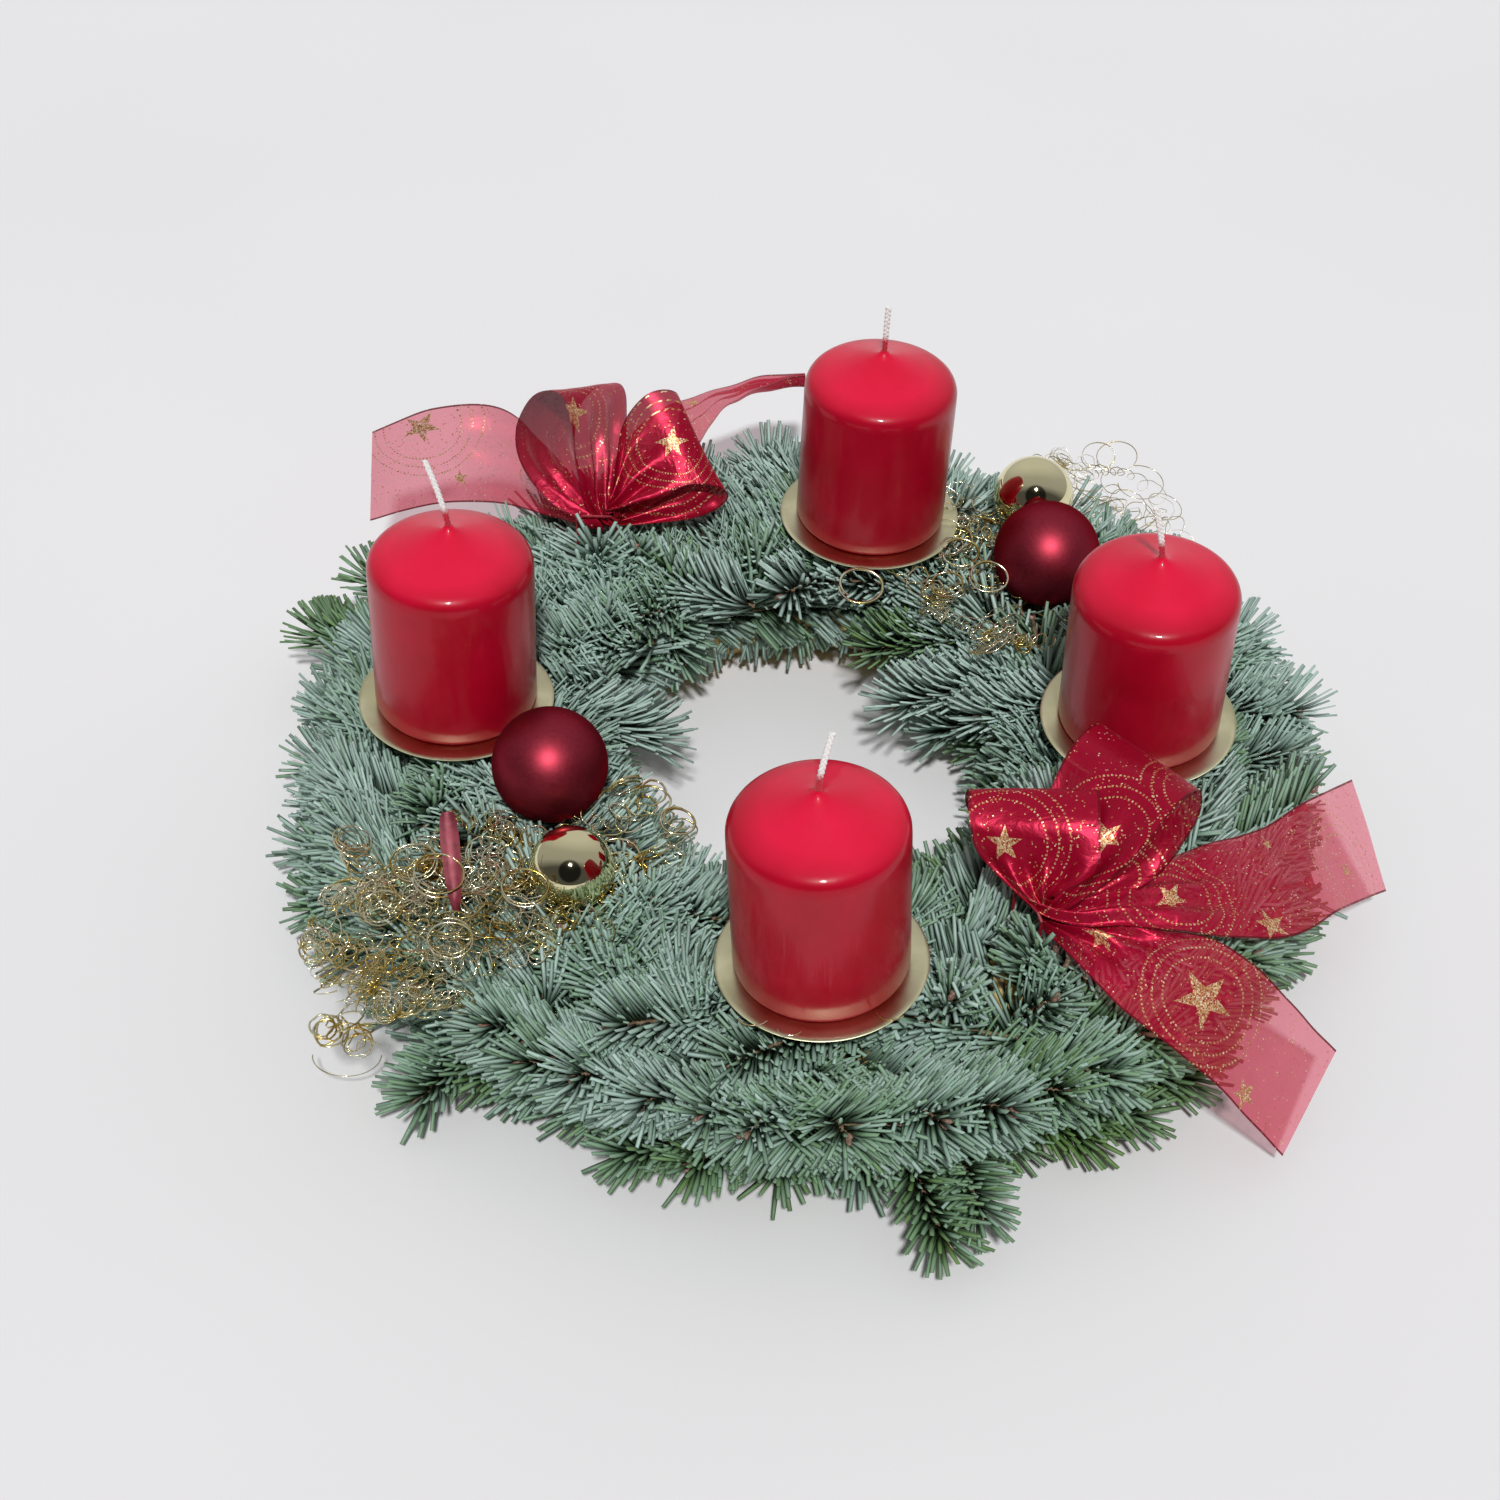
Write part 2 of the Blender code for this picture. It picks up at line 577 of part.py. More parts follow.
def near(one, other):
    (low_one, high_one), (low_other, high_other) = one, other
    return all(low_one[axis] < high_other[axis] and low_other[axis] < high_one[axis] for axis in range(3))


def cut_where_near(pieces, rooms):
    bpy.context.view_layer.update()
    room_boxes = [(room, corners(room)) for room in rooms]
    for piece in pieces:
        box = corners(piece)
        for room, room_box in room_boxes:
            if near(box, room_box):
                cut(piece, room)


def build():
    wreath = empty("wreath", place=RING_PLACE)
    ring = straw_ring(wreath)
    binding_wire(wreath, ring)
    rooms = []
    for side in CANDLES:
        saucer_room = candle_unit(side, wreath)
        cut(ring, saucer_room)
        rooms.append(saucer_room)
    for name in BAUBLES:
        rooms += bauble(name, wreath, ring)
    for name in PINS:
        rooms += bow_pin(name, wreath, ring)
    rooms += [tuft(name, wreath) for name in TUFTS]
    ribbon("ribbon_bow_front", BOW_FRONT, wreath)
    ribbon("ribbon_bow_back", BOW_BACK, wreath)
    foil_strip(wreath)
    cut_where_near(fir_bunches(wreath), rooms)


clear_scene()
part_collection = new_collection("advent_wreath")
cutter_collection = new_collection("cutters")
build()
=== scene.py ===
"""Advent wreath: the looks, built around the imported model."""

import math
import random

import bpy
import numpy as np
from mathutils import Matrix, Vector


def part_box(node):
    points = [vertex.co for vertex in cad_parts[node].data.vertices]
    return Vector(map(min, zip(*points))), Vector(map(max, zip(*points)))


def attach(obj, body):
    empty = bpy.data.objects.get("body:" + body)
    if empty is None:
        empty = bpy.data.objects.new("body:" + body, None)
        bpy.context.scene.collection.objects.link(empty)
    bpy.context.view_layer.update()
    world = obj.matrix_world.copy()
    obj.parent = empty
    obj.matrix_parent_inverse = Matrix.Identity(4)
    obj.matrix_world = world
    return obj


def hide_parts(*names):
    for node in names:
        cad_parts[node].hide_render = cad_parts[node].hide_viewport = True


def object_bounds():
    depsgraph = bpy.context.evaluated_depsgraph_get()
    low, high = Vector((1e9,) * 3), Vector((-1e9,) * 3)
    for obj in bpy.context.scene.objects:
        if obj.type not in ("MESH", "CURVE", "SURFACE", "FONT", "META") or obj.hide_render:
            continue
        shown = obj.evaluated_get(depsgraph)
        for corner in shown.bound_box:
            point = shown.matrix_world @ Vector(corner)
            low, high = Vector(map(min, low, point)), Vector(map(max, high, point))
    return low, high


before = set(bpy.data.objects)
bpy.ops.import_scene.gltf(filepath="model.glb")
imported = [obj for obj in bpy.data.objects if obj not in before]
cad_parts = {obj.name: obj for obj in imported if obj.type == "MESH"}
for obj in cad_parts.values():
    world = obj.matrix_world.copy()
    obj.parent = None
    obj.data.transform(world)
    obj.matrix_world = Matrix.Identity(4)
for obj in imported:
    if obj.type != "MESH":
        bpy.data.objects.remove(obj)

solids_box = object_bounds()
draw = random.Random(11)
chance = np.random.default_rng(11)

# ---------------------------------------------------------------------------------------------
# Straw ring. Rye straw pressed into a round bundle, flat underneath from lying on the bench, and
# wound with thin thread. It is the core that everything else is tied or stuck into, and shows
# only from below and between the twigs.

low, high = (Vector(corner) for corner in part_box("straw_ring"))
RING = Vector(((low.x + high.x) / 2, (low.y + high.y) / 2, 0))
RING_RADIUS = 0.125
STALK_WIDTH = 0.0035
STALK_LENGTH = 0.060
THREAD_SPACING = 0.018
THREAD_CREST = 0.992                 # the thread lies where a wave round the ring is higher than this


def colour(hex_value):
    """A colour picked as it shows on a screen, turned to the linear values that a shader takes."""
    parts = [int(hex_value[place:place + 2], 16) / 255 for place in (1, 3, 5)]
    return [p / 12.92 if p <= 0.04045 else ((p + 0.055) / 1.055) ** 2.4 for p in parts] + [1.0]


def node(material, kind, inputs=(), stops=(), **settings):
    """Adds a node, sets it up, and feeds its sockets, by name or in order, with values or outputs."""
    tree = material.node_tree
    made = tree.nodes.new("ShaderNode" + kind)
    for name, value in settings.items():
        setattr(made, name, value)
    for key, value in inputs.items() if isinstance(inputs, dict) else enumerate(inputs):
        if isinstance(value, bpy.types.Node):
            value = value.outputs[0]
        if isinstance(value, bpy.types.NodeSocket):
            tree.links.new(value, made.inputs[key])
        else:
            made.inputs[key].default_value = value
    for place, (position, hex_value) in enumerate(stops):
        if place > 1:
            made.color_ramp.elements.new(position)
        made.color_ramp.elements[place].position = position
        made.color_ramp.elements[place].color = colour(hex_value)
    return made


def feed(material, **sockets):
    """Sets or links sockets of a material's Principled shader."""
    shader = material.node_tree.nodes["Principled BSDF"]
    for name, value in sockets.items():
        socket = shader.inputs[name.replace("_", " ")]
        if isinstance(value, bpy.types.Node):
            value = value.outputs[0]
        if isinstance(value, bpy.types.NodeSocket):
            material.node_tree.links.new(value, socket)
        else:
            socket.default_value = value


def new_material(name, **sockets):
    made = bpy.data.materials.new(name)
    made.use_nodes = True
    feed(made, **sockets)
    return made


def paint(name, material):
    """Gives a solid that stays as it is a better material."""
    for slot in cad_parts[name].material_slots:
        slot.material = material


# Dry straw, unbleached and pressed: split stalks side by side, each a little lighter or darker
# than the next, with the shine of their skin and a dark thread over them.
straw = new_material("pressed_rye_straw", Specular_IOR_Level=0.4)
from_middle = node(straw, "VectorMath", [node(straw, "TexCoord").outputs["Object"], RING],
                   operation="SUBTRACT")
parts = node(straw, "SeparateXYZ", [from_middle])
turn = node(straw, "Math", [parts.outputs["Y"], parts.outputs["X"]], operation="ARCTAN2")
reach = node(straw, "VectorMath", [node(straw, "CombineXYZ", [parts.outputs["X"], parts.outputs["Y"]])],
             operation="LENGTH").outputs["Value"]
around = node(straw, "Math", [turn, RING_RADIUS * STALK_WIDTH / STALK_LENGTH], operation="MULTIPLY")
laid_out = node(straw, "CombineXYZ", [around, reach, parts.outputs["Z"]])
stalks = node(straw, "TexNoise", {"Vector": laid_out, "Scale": 1 / STALK_WIDTH, "Detail": 3.0})
straw_tone = node(straw, "ValToRGB", [stalks], [(0.32, "#5f4a22"), (0.47, "#a58545"), (0.62, "#d8c07e")])
turns = 2 * math.pi * RING_RADIUS / THREAD_SPACING
thread = node(straw, "Math", [node(straw, "Math", [turn, turns / 2], operation="MULTIPLY")], operation="SINE")
on_thread = node(straw, "Math", [thread, THREAD_CREST], operation="GREATER_THAN")
feed(straw, Base_Color=node(straw, "MixRGB", [on_thread, straw_tone, colour("#5b5140")]),
     Roughness=node(straw, "MapRange", [stalks, 0.3, 0.7, 0.75, 0.5]),
     Normal=node(straw, "Bump", {"Height": stalks, "Strength": 0.6, "Distance": 0.0015}))
paint("straw_ring", straw)

# ---------------------------------------------------------------------------------------------
# Binding wire, spikes, stems and pins. The twigs are bound down with one long green lacquered
# wire, and the bows' bent pins are of red lacquered wire. The saucers' spikes and the baubles'
# stems are galvanised steel wire. All are pushed into the straw.

SIDES = ("front", "left", "back", "right")


def mottled(name, scale, detail, ramp, dull=(), relief=(), pattern="TexNoise", **sockets):
    """A material with one pattern of spots, so many a metre, that ramp colours.

    dull is the pattern's range and the roughness at its ends, and relief how strongly and how far
    the spots stand out.
    """
    made = new_material(name, **sockets)
    at = node(made, "TexCoord").outputs["Object"]
    spots = node(made, pattern, {"Vector": at, "Scale": scale, "Detail": detail})
    feed(made, Base_Color=node(made, "ValToRGB", [spots], ramp))
    if dull:
        feed(made, Roughness=node(made, "MapRange", [spots, *dull]))
    if relief:
        strength, depth = relief
        feed(made, Normal=node(made, "Bump", {"Height": spots, "Strength": strength, "Distance": depth}))
    return made


# Annealed iron wire dipped in green lacquer, which wears thin where it rubbed on the reel.
green_wire = new_material("green_lacquered_wire", Roughness=0.38)
at = node(green_wire, "TexCoord").outputs["Object"]
rubbed = node(green_wire, "TexNoise", {"Vector": at, "Scale": 260.0, "Detail": 4.0})
feed(green_wire, Metallic=node(green_wire, "MapRange", [rubbed, 0.60, 0.68, 0.0, 0.8]),
     Base_Color=node(green_wire, "ValToRGB", [rubbed],
                     [(0.40, "#16301f"), (0.60, "#2c4d35"), (0.68, "#77796f")]))
paint("binding_wire", green_wire)

# Galvanised steel wire under a dull zinc bloom, and wire dipped in red lacquer, a little uneven.
steel = mottled("galvanised_steel_wire", 420.0, 3.0, [(0.35, "#8f9092"), (0.65, "#c6c7c9")],
                dull=(0.3, 0.7, 0.25, 0.42), Metallic=1.0)
red_wire = mottled("red_lacquered_wire", 700.0, 3.0, [(0.3, "#7c0a1c"), (0.7, "#a01029")],
                   dull=(0.3, 0.7, 0.35, 0.5), Specular_IOR_Level=0.6)
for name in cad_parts:
    if name.startswith(("plate_spike", "stem")):
        paint(name, steel)
    if name.startswith("bow_pin"):
        paint(name, red_wire)

# ---------------------------------------------------------------------------------------------
# Saucers. Each is a disc stamped from thin brass-plated sheet, with a rolled edge and a spike
# through its middle, pushed down into the straw. It is turned smooth, so it has fine rings that
# draw its highlights out into bright streaks, under a thin clear gold lacquer.

# How far each candle and its saucer lean, in degrees, towards +X and +Y.
LEANS = {"front": (-2.8, -0.1), "left": (1.6, 1.9), "back": (1.6, 0.2), "right": (-1.0, -2.6)}
SAUCER_RADIUS = 0.0364
SAUCER = [
    (0.0015, 0.0), (0.0300, 0.0), (0.0345, 0.0), (0.0354, -0.00005), (0.0361, -0.00018),
    (0.0364, -0.0004), (0.0361, -0.00062), (0.0354, -0.00075), (0.0345, -0.0008), (0.0015, -0.0008),
]
TURNED_STEPS = 96


def start(add, **settings):
    """Adds a primitive with nothing else selected, and returns it."""
    bpy.ops.object.select_all(action="DESELECT")
    add(**settings)
    return bpy.context.object


def turned(profile, sharp, steps=TURNED_STEPS):
    """A solid through the (radius, height) points of a profile, as on a lathe, closed at both ends."""
    (radius, height), *rest = profile
    made = start(bpy.ops.mesh.primitive_circle_add, vertices=steps, radius=radius, location=(0, 0, height))
    bpy.ops.object.mode_set(mode="EDIT")
    bpy.ops.mesh.select_all(action="SELECT")
    bpy.ops.mesh.edge_face_add()
    for next_radius, next_height in rest:
        bpy.ops.mesh.extrude_edges_move(TRANSFORM_OT_translate={"value": (0, 0, next_height - height)})
        share = next_radius / radius
        bpy.ops.transform.resize(value=(share, share, 1))
        radius, height = next_radius, next_height
    bpy.ops.mesh.edge_face_add()
    bpy.ops.mesh.select_all(action="SELECT")
    bpy.ops.mesh.normals_make_consistent(inside=False)
    bpy.ops.object.mode_set(mode="OBJECT")
    bpy.ops.object.shade_smooth_by_angle(angle=math.radians(sharp))
    bpy.ops.object.transform_apply(location=True)
    return made


def seat(side):
    """The lean and the place of a candle and saucer, from the middle of the saucer's top."""
    low, high = (Vector(corner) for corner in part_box("candle_plate_" + side))
    lean_x, lean_y = LEANS[side]
    lean = Matrix.Rotation(math.radians(lean_x), 4, "Y") @ Matrix.Rotation(math.radians(-lean_y), 4, "X")
    return Matrix.Translation((low + high) / 2) @ lean @ Matrix.Translation((0, 0, 0.0004))


def take(piece):
    """Selects one object and nothing else."""
    bpy.ops.object.select_all(action="DESELECT")
    piece.select_set(True)
    bpy.context.view_layer.objects.active = piece


def finish_piece(piece, name, slot, materials, *replaced):
    """Names a finished piece, puts its place into its mesh, and hangs it on the wreath."""
    piece.name = piece.data.name = name
    take(piece)
    bpy.ops.object.transform_apply(location=True, rotation=True, scale=True)
    piece.data.materials.clear()
    for material in materials:
        piece.data.materials.append(material)
    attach(piece, "root")
    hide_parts(*replaced)


gold_plate = mottled("turned_brass_plate", 70.0, 4.0, [(0.35, "#cac49c"), (0.65, "#dcd7b4")],
                     dull=(0.3, 0.7, 0.30, 0.38), Metallic=1.0, Anisotropic=0.75)
feed(gold_plate, Tangent=node(gold_plate, "Tangent", direction_type="RADIAL", axis="Z"))
for side in SIDES:
    saucer = turned(SAUCER, 35)
    saucer.matrix_world = seat(side)
    finish_piece(saucer, "saucer_" + side, "brass", [gold_plate], "candle_plate_" + side)

# ---------------------------------------------------------------------------------------------
# Candles. Cast pillars of red wax 60 mm across with a low cone on top, dipped last in a clear
# hard lacquer that leaves them glossy. The top is painted a paler red as painted light from above,
# and the sides a darker red as painted shade. Each is pressed onto its saucer's spike.

CANDLE = [
    (0.0015, 0.0783), (0.0022, 0.0773), (0.0045, 0.0759), (0.0090, 0.0740), (0.0150, 0.0713),
    (0.0200, 0.0692), (0.0240, 0.0676), (0.0262, 0.0667), (0.0275, 0.0659), (0.0286, 0.0648),
    (0.0294, 0.0634), (0.0299, 0.0617), (0.0300, 0.0595), (0.0300, 0.0400), (0.0300, 0.0200),
    (0.0300, 0.0032), (0.0297, 0.0019), (0.0291, 0.0010), (0.0281, 0.0004), (0.0268, 0.0003),
    (0.0015, 0.0003), (0.0015, 0.0203),
]
PAINTED_LIGHT_TOP_FROM = (0.1300, 0.1350)         # over the table, where the painted shade of the sides turns into the painted light of the top
red_wax = new_material("lacquered_red_wax", IOR=1.45, Specular_IOR_Level=0.2,
                       Coat_Weight=0.25, Coat_Roughness=0.05,
                       Subsurface_Weight=0.15, Subsurface_Scale=0.003, Subsurface_Radius=(1.0, 0.1, 0.1))
at = node(red_wax, "TexCoord").outputs["Object"]
cloud = node(red_wax, "TexNoise", {"Vector": at, "Scale": 55.0, "Detail": 3.0})
skin = node(red_wax, "TexNoise", {"Vector": at, "Scale": 420.0, "Detail": 2.0})
height = node(red_wax, "SeparateXYZ", [at]).outputs["Z"]
# Painted light and shade: a paler red on the top, where the light from above falls, and a darker red on the
# sides.
painted_light_on_top = node(red_wax, "MapRange", [height, *PAINTED_LIGHT_TOP_FROM, 0.0, 1.0])
feed(red_wax, Base_Color=node(red_wax, "MixRGB", [
         painted_light_on_top, node(red_wax, "ValToRGB", [cloud], [(0.3, "#a60520"), (0.7, "#b40828")]),
         node(red_wax, "ValToRGB", [cloud], [(0.3, "#dc0c36"), (0.7, "#e81442")])]),
     Roughness=node(red_wax, "MapRange", [painted_light_on_top, 0.0, 1.0, 0.30, 0.40]),
     Normal=node(red_wax, "Bump", {"Height": skin, "Strength": 0.12, "Distance": 0.0004}))
for side in SIDES:
    candle = turned(CANDLE, 50)
    candle.matrix_world = seat(side)
    finish_piece(candle, "pillar_" + side, "red_wax", [red_wax], "candle_" + side)

# ---------------------------------------------------------------------------------------------
# Wicks. Three strands of white cotton, plaited, bent over a little by hand. The candle's last dip
# has left the lowest few millimetres red.

WICK_TOPS = {                        # how far each leans over and stands up
    "front": (0.0050, 0.0048, 0.0210), "left": (-0.0080, 0.0070, 0.0235),
    "back": (0.0002, 0.0025, 0.0195), "right": (-0.0040, 0.0035, 0.0205),
}
WICK_FOOT = 0.0773
WICK_HIDDEN = 0.0213                 # where it ends inside the candle, over the spike
WICK_POINTS = 40
STRAND_RADIUS = 0.00066
STRAND_SWING = 0.00058
PLAIT_LENGTH = 0.0052                # for one whole turn of a strand
RED_UP_TO = (0.1505, 0.1530)         # over the table, where the red fades out
FRAYED = 0.003


def add_line(curve, points):
    """Adds a line through the points to a curve."""
    spline = curve.splines.new("POLY")
    spline.points.add(len(points) - 1)
    spline.points.foreach_set("co", np.column_stack([points, np.ones(len(points))]).ravel())
    return spline


def put_in(data):
    """Puts new data into the scene as an object."""
    made = bpy.data.objects.new(data.name, data)
    bpy.context.scene.collection.objects.link(made)
    return made


def as_mesh(curve):
    """Puts a curve into the scene and makes it a mesh."""
    made = put_in(curve)
    take(made)
    bpy.ops.object.convert(target="MESH")
    return made


cotton = new_material("plaited_cotton", Roughness=0.85, Sheen_Weight=0.3)
at = node(cotton, "TexCoord").outputs["Object"]
height = node(cotton, "SeparateXYZ", [at]).outputs["Z"]
fibre = node(cotton, "TexNoise", {"Vector": at, "Scale": 1800.0, "Detail": 2.0})
frayed = node(cotton, "Math", [fibre, FRAYED], operation="MULTIPLY")
soaked = node(cotton, "Math", [height, frayed], operation="ADD")
feed(cotton, Base_Color=node(cotton, "MixRGB", [
    node(cotton, "MapRange", [soaked, *RED_UP_TO, 0.0, 1.0]), colour("#c01533"),
    node(cotton, "ValToRGB", [fibre], [(0.3, "#e6e2de"), (0.7, "#fbfaf8")])]))
for side in SIDES:
    top = WICK_TOPS[side]
    shares = np.linspace(0, 1, WICK_POINTS)[:, None]
    bend = np.hstack([top[0] * shares**1.4, top[1] * shares**1.4, WICK_FOOT + top[2] * shares])
    bend = np.vstack([[0, 0, WICK_HIDDEN], [0, 0, WICK_FOOT - 0.004], bend])
    run = np.concatenate([[0], np.cumsum(np.linalg.norm(np.diff(bend, axis=0), axis=1))])
    strands = bpy.data.curves.new("wick", "CURVE")
    strands.dimensions = "3D"
    strands.bevel_depth = STRAND_RADIUS
    strands.bevel_resolution = 1
    strands.use_fill_caps = True
    for number in range(3):
        phase = 2 * math.pi * (run / PLAIT_LENGTH + number / 3)
        swing = np.stack([np.sin(phase), np.sin(2 * phase) / 2, 0 * phase], axis=1)
        add_line(strands, bend + STRAND_SWING * swing)
    wick = as_mesh(strands)
    wick.matrix_world = seat(side)
    finish_piece(wick, "plaited_wick_" + side, "cotton", [cotton], "wick_" + side)

# ---------------------------------------------------------------------------------------------
# Baubles. Blown glass balls with a short neck at the back, each wired to a steel stem and pushed
# into the straw. The two large ones are red, frosted outside, and the two small ones are silvered
# inside and lacquered a clear gold.

BAUBLES = {                          # radius, middle, where its stem ends
    "red_bauble_left": (0.0210, (-0.0985, -0.0392, 0.0725), (-0.1010, -0.0400, 0.014)),
    "gold_bauble_left": (0.0150, (-0.0881, -0.0845, 0.0660), (-0.0881, -0.0845, 0.014)),
    "red_bauble_right": (0.0210, (0.0899, 0.0881, 0.0720), (0.0899, 0.0881, 0.014)),
    "gold_bauble_right": (0.0163, (0.0877, 0.1285, 0.0700), (0.0790, 0.1120, 0.020)),
}
BALL_RINGS = (1, 172, 44)            # from the crown to the neck in degrees, and how many
NECK = [(0.0028, -0.0006), (0.0026, -0.0028), (0.0014, -0.0028), (0.0014, 0.002)]
BALL_SIDES = 64
# Frosted glass over a red dye: the matt skin spreads the light into one soft glow, and the dye
# looks darker the longer the way through it, towards the rim.
red_glass = mottled("frosted_red_glass", 900.0, 2.0, [(0.3, "#98303f"), (0.7, "#a03746")],
                    dull=(0.3, 0.7, 0.45, 0.50), relief=(0.05, 0.0002), Metallic=1.0,
                    Specular_Tint=colour("#74605f"))
# Silvered glass under gold lacquer: a mirror, only slightly uneven.
gold_glass = mottled("silvered_gold_glass", 60.0, 2.0, [(0.3, "#e6dcae"), (0.7, "#eee6bc")],
                     dull=(0.3, 0.7, 0.02, 0.05), Metallic=1.0)
for name, (radius, middle, root) in BAUBLES.items():
    ball = [(radius * math.sin(a), radius * math.cos(a)) for a in np.radians(np.linspace(*BALL_RINGS))]
    piece = turned(ball + [(out, up - radius) for out, up in NECK], 40, BALL_SIDES)
    down = (Vector(root) - Vector(middle)).to_track_quat("-Z", "Y").to_matrix().to_4x4()
    piece.matrix_world = Matrix.Translation(RING + Vector(middle)) @ down
    finish = ("red_glass", red_glass) if name.startswith("red") else ("gold_glass", gold_glass)
    finish_piece(piece, "ball_" + name, finish[0], [finish[1]], name)

# ---------------------------------------------------------------------------------------------
# Ribbon bows. Each is one length of sheer red organza ribbon 44 mm wide with a fine wire woven
# into both edges. It is laid in two loops and two tails, pinched in the middle and pinned to the
# straw. Gold glitter is printed on it: stars, rings of dots and a scatter of specks.

RIBBON_WIDTH = 0.044
RIBBON_ROWS = 12                     # from one station to the next
RIBBON_COLUMNS = 24
PLEATS = 3
PINCHED = 0.010                      # it is narrower than this only where it is pinned
RIPPLE = (0.0006, 260, 1.3)          # over its middle: depth, radians a metre and slant
EDGE_RIPPLE = (0.0009, 95, 2.2)
PULLED_LOOPS = 0.84                  # how far its threads are pulled together, of all the way
PULLED_PLEATS = 0.6
PULLED_KNOT = 1.25
# A station is the ribbon's middle, the way across it, its width, and the share of the width
# missing there that is taken up in pleats. Sizes are in millimetres.
BOWS = {
    "front": [
        (168, -143, 17, 0.47, 0.84, 0.28, 44, 0), (141, -137, 47, 0.61, 0.76, 0.20, 44, 0),
        (115, -125, 63, 0.81, 0.58, 0.08, 44, 0), (96, -114, 66.5, 0.84, 0.52, 0.08, 28, 0.8),
        (75, -104, 67.5, 0.70, -0.70, 0.05, 9, 0.5), (97, -83, 76, 0.68, -0.73, 0.03, 36, 0.8),
        (111, -65, 88, 0.68, -0.73, 0.03, 44, 0), (112, -60, 101, 0.72, -0.69, 0.00, 44, 0),
        (102, -72, 105, 0.72, -0.69, 0.00, 44, 0), (88, -90, 93, 0.70, -0.71, 0.00, 38, 0.8),
        (75, -104, 70.5, 0.80, -0.60, 0.00, 9, 0.5), (72, -84, 78, 0.99, -0.10, 0.05, 34, 0.8),
        (70, -73, 91, 0.99, -0.05, 0.09, 44, 0), (70, -77, 101, 0.99, -0.05, 0.09, 44, 0),
        (70, -89, 96, 0.98, -0.13, 0.10, 44, 0), (72, -98, 84, 0.96, -0.24, 0.10, 38, 0.8),
        (76, -105, 73.5, 0.30, 0.95, 0.00, 9, 0.5), (105, -98, 72, 0.04, 0.99, 0.00, 27, 0.8),
        (132, -90, 67, 0.00, 1.00, 0.05, 40, 0.8), (160, -76, 57, -0.17, 0.96, 0.24, 44, 0),
        (181, -54, 48, -0.20, 0.92, 0.33, 44, 0), (207, -23, 28, -0.23, 0.78, 0.58, 44, 0),
    ],
    "back": [
        (-189, 156, 53, 0.08, 0.24, 0.97, 40, 0), (-163, 160, 61, 0.03, 0.37, 0.93, 42, 0),
        (-134, 155, 66, -0.01, 0.60, 0.80, 40, 0.5), (-110, 135, 68, -0.20, 0.85, 0.49, 34, 0.8),
        (-87, 108, 67.5, 0.50, 0.85, 0.00, 9, 0.5), (-107, 127, 80, 0.50, 0.70, -0.30, 34, 0.8),
        (-112, 138, 95, 0.55, 0.72, -0.35, 40, 0), (-104, 142, 108, 0.55, 0.72, -0.35, 40, 0),
        (-93, 140, 110, 0.55, 0.72, -0.35, 40, 0), (-90, 129, 96, 0.55, 0.75, -0.30, 34, 0.8),
        (-86, 107, 70.5, 1.00, 0.00, 0.00, 9, 0.5), (-66, 118, 76, -0.50, 0.72, 0.35, 30, 0.8),
        (-50, 126, 84, -0.45, 0.62, 0.60, 38, 0.5), (-49, 127, 95, -0.45, 0.62, 0.60, 44, 0),
        (-62, 124, 98, -0.45, 0.62, 0.60, 40, 0), (-75, 118, 88, -0.40, 0.75, 0.45, 30, 0.8),
        (-85, 108, 73.5, 0.90, -0.40, 0.00, 9, 0.5), (-68, 152, 71, 0.80, -0.50, 0.10, 30, 0.8),
        (-48, 190, 68, 0.40, -0.80, 0.40, 40, 0.8), (-27, 216, 61, 0.10, -0.85, 0.50, 36, 0.8),
        (-5, 228, 56, 0.00, -0.85, 0.50, 16, 0.8),
    ],
}
# Each printed star: across and along the ribbon and the reach of its points, in millimetres, how
# far it is turned, in degrees, and whether it stands in rings of dots.
STARS = {
    "front": [
        (-16.5, 27.8, 6.0, 20, False), (0.0, 58.4, 11.0, 12, True), (-1.8, 98.8, 6.0, 50, False),
        (9.0, 140.0, 6.0, 0, True), (26.0, 200.0, 2.0, 0, True), (-6.0, 184.0, 5.0, 30, False),
        (7.3, 234.0, 6.5, 0, True), (-12.0, 262.0, 4.0, 15, False), (11.0, 292.0, 6.0, 40, True),
        (-11.0, 336.3, 6.5, 10, True), (9.0, 366.0, 4.0, 0, False), (-3.7, 403.3, 6.2, 40, True),
        (-16.5, 438.8, 6.5, 5, False), (15.0, 458.0, 3.0, 0, False), (-9.2, 496.3, 4.0, 30, True),
    ],
    "back": [
        (14.7, 27.0, 7.5, 30, True), (-11.0, 38.7, 4.0, 0, False), (6.0, 92.0, 6.0, 0, True),
        (-8.0, 138.0, 4.5, 20, False), (-17.0, 212.0, 9.0, 0, True), (4.0, 196.0, 3.0, 0, False),
        (11.0, 243.6, 3.5, 30, False), (6.0, 286.0, 5.0, 0, True), (-1.8, 325.0, 7.5, 15, True),
        (10.0, 352.0, 3.0, 0, False), (0.0, 424.0, 6.0, 40, True), (-16.0, 465.5, 6.0, 0, False),
        (-12.0, 491.8, 4.5, 25, False),
    ],
}


def unit(vectors):
    return vectors / np.linalg.norm(vectors, axis=-1, keepdims=True)


def smooth_between(stations, rows):
    """Rows between each two stations, on a smooth line through them all."""
    last = len(stations) - 1
    steps = np.linspace(0, 1, rows, endpoint=False)[:, None]
    out = []
    for index in range(last):
        before, begin, end, after = (stations[min(max(index + step, 0), last)] for step in (-1, 0, 1, 2))
        out.append(0.5 * (2 * begin + (end - before) * steps
                          + (2 * before - 5 * begin + 4 * end - after) * steps**2
                          + (3 * begin - before - 3 * end + after) * steps**3))
    return np.concatenate([*out, stations[last][None]])


def add_map(sheet, name, places):
    layer = sheet.data.uv_layers.new(name=name)
    layer.data.foreach_set("uv", places.ravel())


